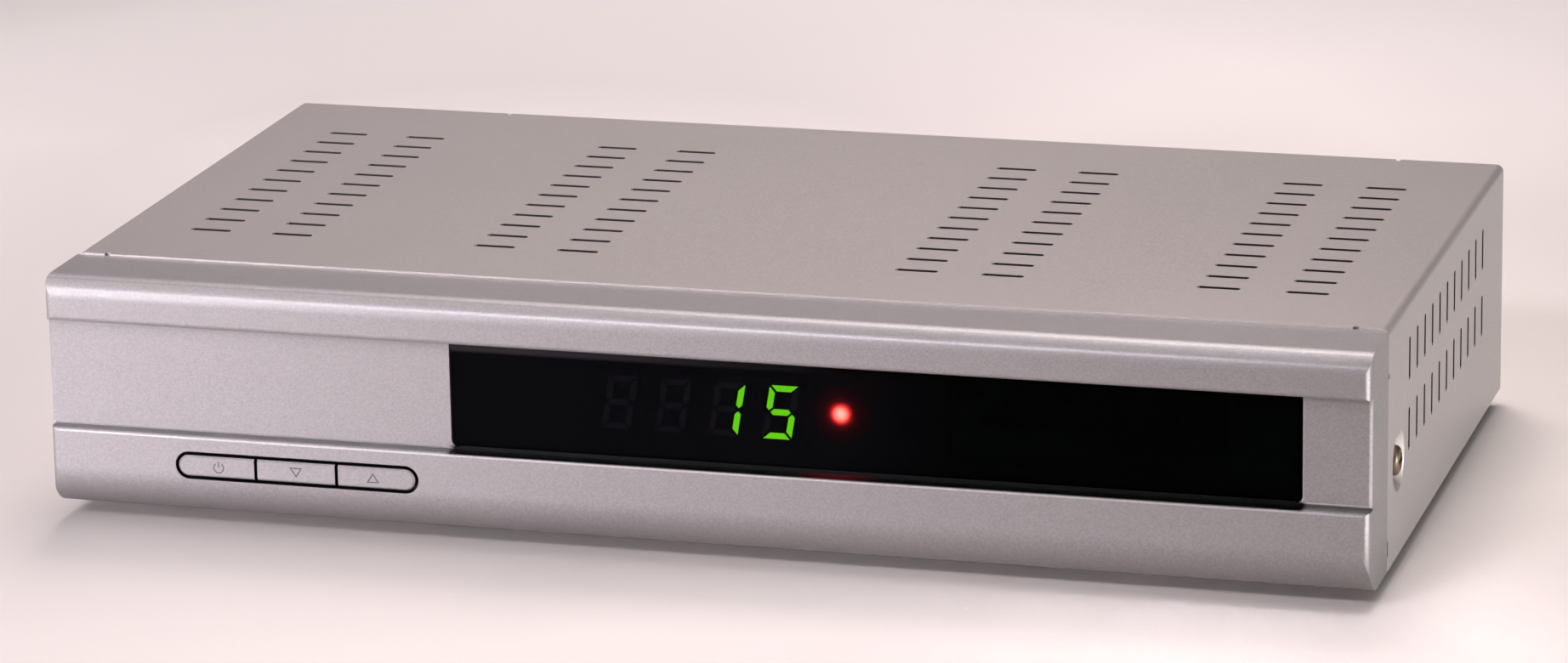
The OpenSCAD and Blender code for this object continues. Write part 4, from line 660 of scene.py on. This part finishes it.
def finish_nodes():
    """Gives every CAD node its material."""
    cover = flaked_paint("cover_paint", COVER_SILVER, metallic=0.45, roughness=0.52, tilt=0.10, flake=0.06,
                         coat=0.5, coat_roughness=0.32, wear_and_painted_light=cover_painted_light)
    give(cover, "top_cover")
    bezel = flaked_paint("bezel_paint", BEZEL_SILVER, metallic=0.25, roughness=0.55, tilt=0.12, flake=0.09,
                         coat=BEZEL_COAT, coat_roughness=0.26, wear_and_painted_light=bezel_painted_light)
    dull_flanks(bezel, BEZEL_COAT)
    painted_red_glow(bezel)
    give(bezel, "front_bezel", "power_button", "channel_down_button", "channel_up_button")
    give(zinc_sheet("zinc_sheet"), "base_tray")
    give(rubber("foot_rubber"), "rubber_feet")
    # Yellow-plated screws, their colour partly the plating and partly painted shade of the recesses they sit
    # in
    give(metal("screw_zinc", (0.23, 0.175, 0.12), 0.42), "cover_screws", "bezel_screws", "board_screws")
    give(smoked_window("smoked_acrylic"), "display_window")
    black = moulding("black_moulding", BLACK)
    give(black, "power_plunger", "channel_down_plunger", "channel_up_plunger", "key_switches", "lamp_spacer",
         "av_jack_block", "component_jack_block", "serial_insert", "mains_inlet", "readout_body")
    give(moulding("receiver_lens", (0.02, 0.012, 0.016), 0.15, 900.0, 0.00001), "remote_receiver")
    epoxy = moulding("chip_epoxy", (0.025, 0.025, 0.027), 0.55, 2600.0)
    give(epoxy, "decoder_chip", "memory_chips", "bridge_rectifier", "power_transistor")
    give(laminate("green_laminate", (0.03, 0.16, 0.06), (0.06, 0.26, 0.11)), "main_board", "front_board")
    give(laminate("brown_laminate", (0.32, 0.20, 0.09), (0.42, 0.27, 0.12)), "power_board")
    give(lit_segment("lit_segment", (0.20, 1.0, 0.006), 24.0), "lit_segments")
    give(dark_segment("dark_segment"), "dark_segments")
    give(standby_glow("standby_lamp"), "standby_lamp")
    give(moulding("header_nylon", (0.74, 0.70, 0.56), 0.4), "cable_headers")
    give(ribbon("grey_ribbon", (0.42, 0.42, 0.43), (0.50, 0.12, 0.10), 1.27 * MM, "X"), "front_cable")
    give(ribbon("power_lead", (0.48, 0.05, 0.04), (0.03, 0.03, 0.03), 1.8 * MM, "Y"), "power_cable")
    give(metal("tinned_steel", (0.62, 0.62, 0.60), 0.30, (0.3, 1.0, 1.0)),
         "tuner_can", "crystal", "serial_port", "fuse_clips", "board_standoffs")
    give(metal("nickel_plate", NICKEL, 0.22), "jack_shells", "serial_posts", "inlet_pins", "aerial_sockets")
    give(moulding("white_moulding", (0.78, 0.78, 0.75), 0.4), "aerial_insulators", "white_jack_collar")
    give(moulding("yellow_moulding", (0.80, 0.52, 0.02), 0.4), "yellow_jack_collar")
    give(moulding("red_moulding", (0.60, 0.025, 0.02), 0.4), "red_jack_collars")
    give(moulding("green_moulding", (0.03, 0.34, 0.07), 0.4), "green_jack_collar")
    give(moulding("blue_moulding", (0.03, 0.10, 0.50), 0.4), "blue_jack_collar")
    give(metal("heat_sink", (0.62, 0.63, 0.64), 0.36, (1.0, 0.1, 1.0)),
         "decoder_heat_sink", "power_heat_sink")
    give(can_sleeve("capacitor_sleeve", (0.02, 0.03, 0.11)),
         "main_capacitors", "bulk_capacitor", "output_capacitors")
    give(film_sheet("insulation_film"), "insulation_sheet")
    give(glass_fuse("fuse_glass"), "fuse")
    give(winding("copper_winding", (0.50, 0.20, 0.06), 0.8 * MM, "X"), "line_choke")
    give(moulding("ferrite", (0.07, 0.07, 0.075), 0.5, 2000.0), "transformer_core")
    give(winding("winding_tape", (0.75, 0.58, 0.10), 3.0 * MM, "Z"), "transformer_winding")


# Pieces made here

def new_piece(name, mesh, material, body):
    """Puts a mesh in the scene as a piece that rides on a body."""
    piece = bpy.data.objects.new(name, mesh)
    bpy.context.scene.collection.objects.link(piece)
    mesh.materials.append(material)
    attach(piece, body)
    return piece


def strip_mesh(name, strips, front, back):
    """A thin plate from strips of point pairs, drawn in the X-Z plane between two depths."""
    shape = bmesh.new()
    for pairs, closed in strips:
        rings = []
        for first, second in pairs:
            corners = ((first, front), (second, front), (second, back), (first, back))
            rings.append([shape.verts.new((p[0], y, p[1])) for p, y in corners])
        count = len(rings)
        for i in range(count if closed else count - 1):
            here, there = rings[i], rings[(i + 1) % count]
            for j in range(4):
                shape.faces.new((here[j], here[(j + 1) % 4], there[(j + 1) % 4], there[j]))
        if not closed:
            shape.faces.new(rings[0])
            shape.faces.new(list(reversed(rings[-1])))
    bmesh.ops.recalc_face_normals(shape, faces=shape.faces)
    mesh = bpy.data.meshes.new(name)
    shape.to_mesh(mesh)
    shape.free()
    return mesh


def triangle_strip(x, z, half, height, stroke, up):
    """The outline of an arrowhead triangle, as one closed strip."""
    sign = 1 if up else -1
    outer = [(0.0, height / 2), (-half, -height / 2), (half, -height / 2)]
    inradius = 2 * (half * height) / (2 * half + 2 * math.hypot(half, height))
    centre = (0.0, -height / 2 + inradius)
    shrink = 1.0 - stroke / inradius
    pairs = []
    for px, pz in outer:
        ix, iz = (centre[i] + shrink * ((px, pz)[i] - centre[i]) for i in (0, 1))
        pairs.append(((x + px, z + sign * pz), (x + ix, z + sign * iz)))
    return pairs, True


def power_strips(x, z, radius, stroke):
    """The usual power sign: an open ring and a bar in its gap."""
    gap, steps = math.radians(38), 30
    inner, outer = radius - stroke / 2, radius + stroke / 2
    ring = []
    for i in range(steps + 1):
        angle = math.pi / 2 + gap + (2 * math.pi - 2 * gap) * i / steps
        way = (math.cos(angle), math.sin(angle))
        ring.append(tuple((x + r * way[0], z + r * way[1]) for r in (outer, inner)))
    bar = [((x - stroke / 2, z + h), (x + stroke / 2, z + h)) for h in (0.1 * radius, 1.25 * radius)]
    return [(ring, False), (bar, False)]


def key_signs():
    """Thin dark signs printed on the three key faces, a little off the plungers' axes."""
    stroke, proud, thickness = 0.22 * MM, 0.006 * MM, 0.03 * MM
    ring_radius, half_width, height = 0.95 * MM, 1.25 * MM, 1.9 * MM
    power_shift = (0.6 * MM, -0.1 * MM)
    arrows = (("channel_down", False, 0.0), ("channel_up", True, -0.8 * MM))
    ink, tree, shader, place = start("key_ink", Roughness=0.5)
    wear_and_painted_light = noise(tree, place, 2500.0)
    feed(tree, shader, Base_Color=shade(tree, wear_and_painted_light, (0.035, 0.032, 0.034), (0.075, 0.07, 0.072)))
    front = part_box("power_button")[0][1] - proud
    back = front + thickness

    x, _, z = middle_of("power_plunger")
    power = power_strips(x + power_shift[0], z + power_shift[1], ring_radius, stroke)
    new_piece("power_sign", strip_mesh("power_sign", power, front, back), ink, "power_key")
    for key, up, shift in arrows:
        name = key + "_sign"
        x, _, z = middle_of(key + "_plunger")
        arrow = triangle_strip(x + shift, z, half_width, height, stroke, up)
        new_piece(name, strip_mesh(name, [arrow], front, back), ink, key + "_key")


def lathe(shape, centre, profile, steps, twist):
    """Turns a list of (y, radius) about an axis along Y; twist gives a radius change by y and angle."""
    x, z = centre
    rings = []
    for y, radius in profile:
        ring = []
        for i in range(steps):
            angle = 2 * math.pi * i / steps
            r = radius + twist(y, angle)
            ring.append(shape.verts.new((x + r * math.cos(angle), y, z + r * math.sin(angle))))
        rings.append(ring)
    for here, there in zip(rings, rings[1:]):
        for i in range(steps):
            j = (i + 1) % steps
            shape.faces.new((here[i], here[j], there[j], there[i]))
    return rings


def threaded_sockets():
    """Aerial sockets with their screw threads, in the place of the plain barrels."""
    low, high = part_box("aerial_sockets")
    seat, end = low[1], high[1]
    base_r, crest_r, bore_r = 6.3 * MM, 4.7 * MM, 2.6 * MM
    hub_r, bore_floor = 0.2 * bore_r, seat + 1.0 * MM
    pitch, depth, rows_per_turn, steps = 0.79 * MM, 0.32 * MM, 6, 48
    base_end, shoulder_end, shoulder_r = 62.85 * MM, 64.25 * MM, crest_r + 0.2 * MM
    thread_from, thread_to = 64.6 * MM, end - 0.7 * MM
    root_r, end_bevel, bore_bevel = crest_r - depth, 0.3 * MM, 0.2 * MM
    z = (low[2] + high[2]) / 2

    def thread(y, angle):
        if y < thread_from or y > thread_to:
            return 0.0
        turn = ((y - thread_from) / pitch + angle / (2 * math.pi)) % 1.0
        return -depth * abs(2.0 * turn - 1.0)

    row = pitch / rows_per_turn
    rows = [thread_from + i * row for i in range(int((thread_to - thread_from) / row) + 1)]
    profile = [(seat, hub_r), (seat, base_r), (base_end, base_r), (base_end, shoulder_r),
               (shoulder_end, shoulder_r), (shoulder_end, root_r)]
    profile += [(y, crest_r) for y in rows]
    profile += [(end - 2 * end_bevel, root_r), (end - end_bevel, root_r), (end, root_r - end_bevel),
                (end, bore_r + bore_bevel), (end - bore_bevel, bore_r), (bore_floor, bore_r),
                (bore_floor, hub_r)]
    shape = bmesh.new()
    for x in (low[0] + base_r, high[0] - base_r):
        rings = lathe(shape, (x, z), profile, steps, thread)
        shape.faces.new(list(reversed(rings[0])))
        shape.faces.new(rings[-1])
    bmesh.ops.recalc_face_normals(shape, faces=shape.faces)
    name = "threaded_aerial_sockets"
    mesh = bpy.data.meshes.new(name)
    shape.to_mesh(mesh)
    shape.free()
    for face in mesh.polygons:
        face.use_smooth = True
    mesh.set_sharp_from_angle(angle=math.radians(40))
    piece = new_piece(name, mesh, bpy.data.materials["nickel_plate"], "receiver")
    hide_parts("aerial_sockets")


# Floor, lights and camera

def make_floor():
    mesh = bpy.data.meshes.new("floor")
    corners = [(x * FLOOR_REACH, y * FLOOR_REACH, 0) for x, y in ((-1, -1), (1, -1), (1, 1), (-1, 1))]
    mesh.from_pydata(corners, [], [(0, 1, 2, 3)])
    floor = bpy.data.objects.new("floor", mesh)
    bpy.context.scene.collection.objects.link(floor)
    mesh.materials.append(floor_finish("floor_finish"))


def soft_light(name, place, aim, size, power, colour, spread=180.0):
    """A rectangular lamp that points at a place and isn't seen itself: power in watts, spread in degrees."""
    data = bpy.data.lights.new(name, "AREA")
    data.shape = "RECTANGLE"
    data.size, data.size_y = size
    data.energy = power
    data.color = colour
    data.spread = math.radians(spread)
    light = bpy.data.objects.new(name, data)
    light.visible_camera = False
    bpy.context.scene.collection.objects.link(light)
    light.location = place
    light.rotation_euler = (Vector(aim) - Vector(place)).to_track_quat("-Z", "Y").to_euler()


def make_lights():
    world = bpy.data.worlds.new("studio")
    bpy.context.scene.world = world
    world.use_nodes = True
    background = world.node_tree.nodes["Background"]
    background.inputs["Color"].default_value = (0.96, 0.97, 1.0, 1.0)
    background.inputs["Strength"].default_value = 0.04
    # From the front left, aimed at the case's left end and past it: the front grows darker to the right
    soft_light("key_low", (-1.10, -1.31, 0.33), (-0.33, -0.07, 0.03), (0.36, 0.40), 1.60, KEY_TINT, 22.8)
    soft_light("key_strip", (-0.50, -1.29, 0.96), (-0.12, -0.07, 0.04), (0.50, 0.20), 0.62, KEY_TINT, 36.0)
    # From behind, for the cover and the rounded top edges of the bezel
    soft_light("rear_strip", (-0.05, 0.354, 0.635), (0.05, -0.06, 0.04), (0.38, 0.50), 0.60, REAR_TINT, 80.0)
    soft_light("rear_high", (-0.16, 0.327, 0.95), (0.06, -0.07, 0.045), (0.30, 0.15), 0.10, REAR_TINT, 60.0)
    # From above, wide and even
    soft_light("top_front", (0.30, -0.30, 1.3), (0.0, -0.1, 0.0), (1.2, 1.2), 5.5, ROOM_TINT)
    soft_light("top_rear", (0.0, 0.33, 1.2), (0.0, -0.1, 0.0), (0.7, 0.8), 5.0, ROOM_TINT)
    # From the right, for the side of the case and the bezel's right end
    soft_light("side_right", (0.9, 0.1, 0.5), (0.0, 0.0, 0.03), (0.5, 0.5), 0.42, ROOM_TINT)
    soft_light("edge_right", (1.775, -0.20, 0.065), (0.125, 0.0, 0.025), (0.70, 0.10), 0.90, EDGE_TINT, 32.2)
    # Into the shadow in front of the bezel's right half
    soft_light("front_fill", (0.102, -0.22, 1.3), (0.103, -0.080, 0.0), (0.04, 0.04), 0.0055, ROOM_TINT, 6.6)
    for name, place, size in FAR_FILLS:
        below = (place[0], place[1], 0.0)
        power = FAR_POWER_PER_AREA * size[0] * size[1]
        soft_light(name, place, below, size, power, ROOM_TINT, FAR_SPREAD)


def make_camera():
    data = bpy.data.cameras.new("camera")
    data.sensor_fit = "HORIZONTAL"
    data.sensor_width = SENSOR_WIDTH
    data.lens = FOCAL_PIXELS / IMAGE_WIDTH * SENSOR_WIDTH
    data.clip_start, data.clip_end = 0.05, 30.0
    camera = bpy.data.objects.new("camera", data)
    bpy.context.scene.collection.objects.link(camera)
    ahead, right = Vector(CAMERA_AHEAD), Vector(CAMERA_RIGHT)
    turn = Matrix((right, right.cross(ahead), -ahead)).transposed()
    camera.matrix_world = Matrix.Translation(CAMERA_PLACE) @ turn.to_4x4()
    bpy.context.scene.camera = camera


bpy.context.scene.view_settings.view_transform = "Standard"
make_camera()
finish_nodes()
key_signs()
threaded_sockets()
make_floor()
make_lights()
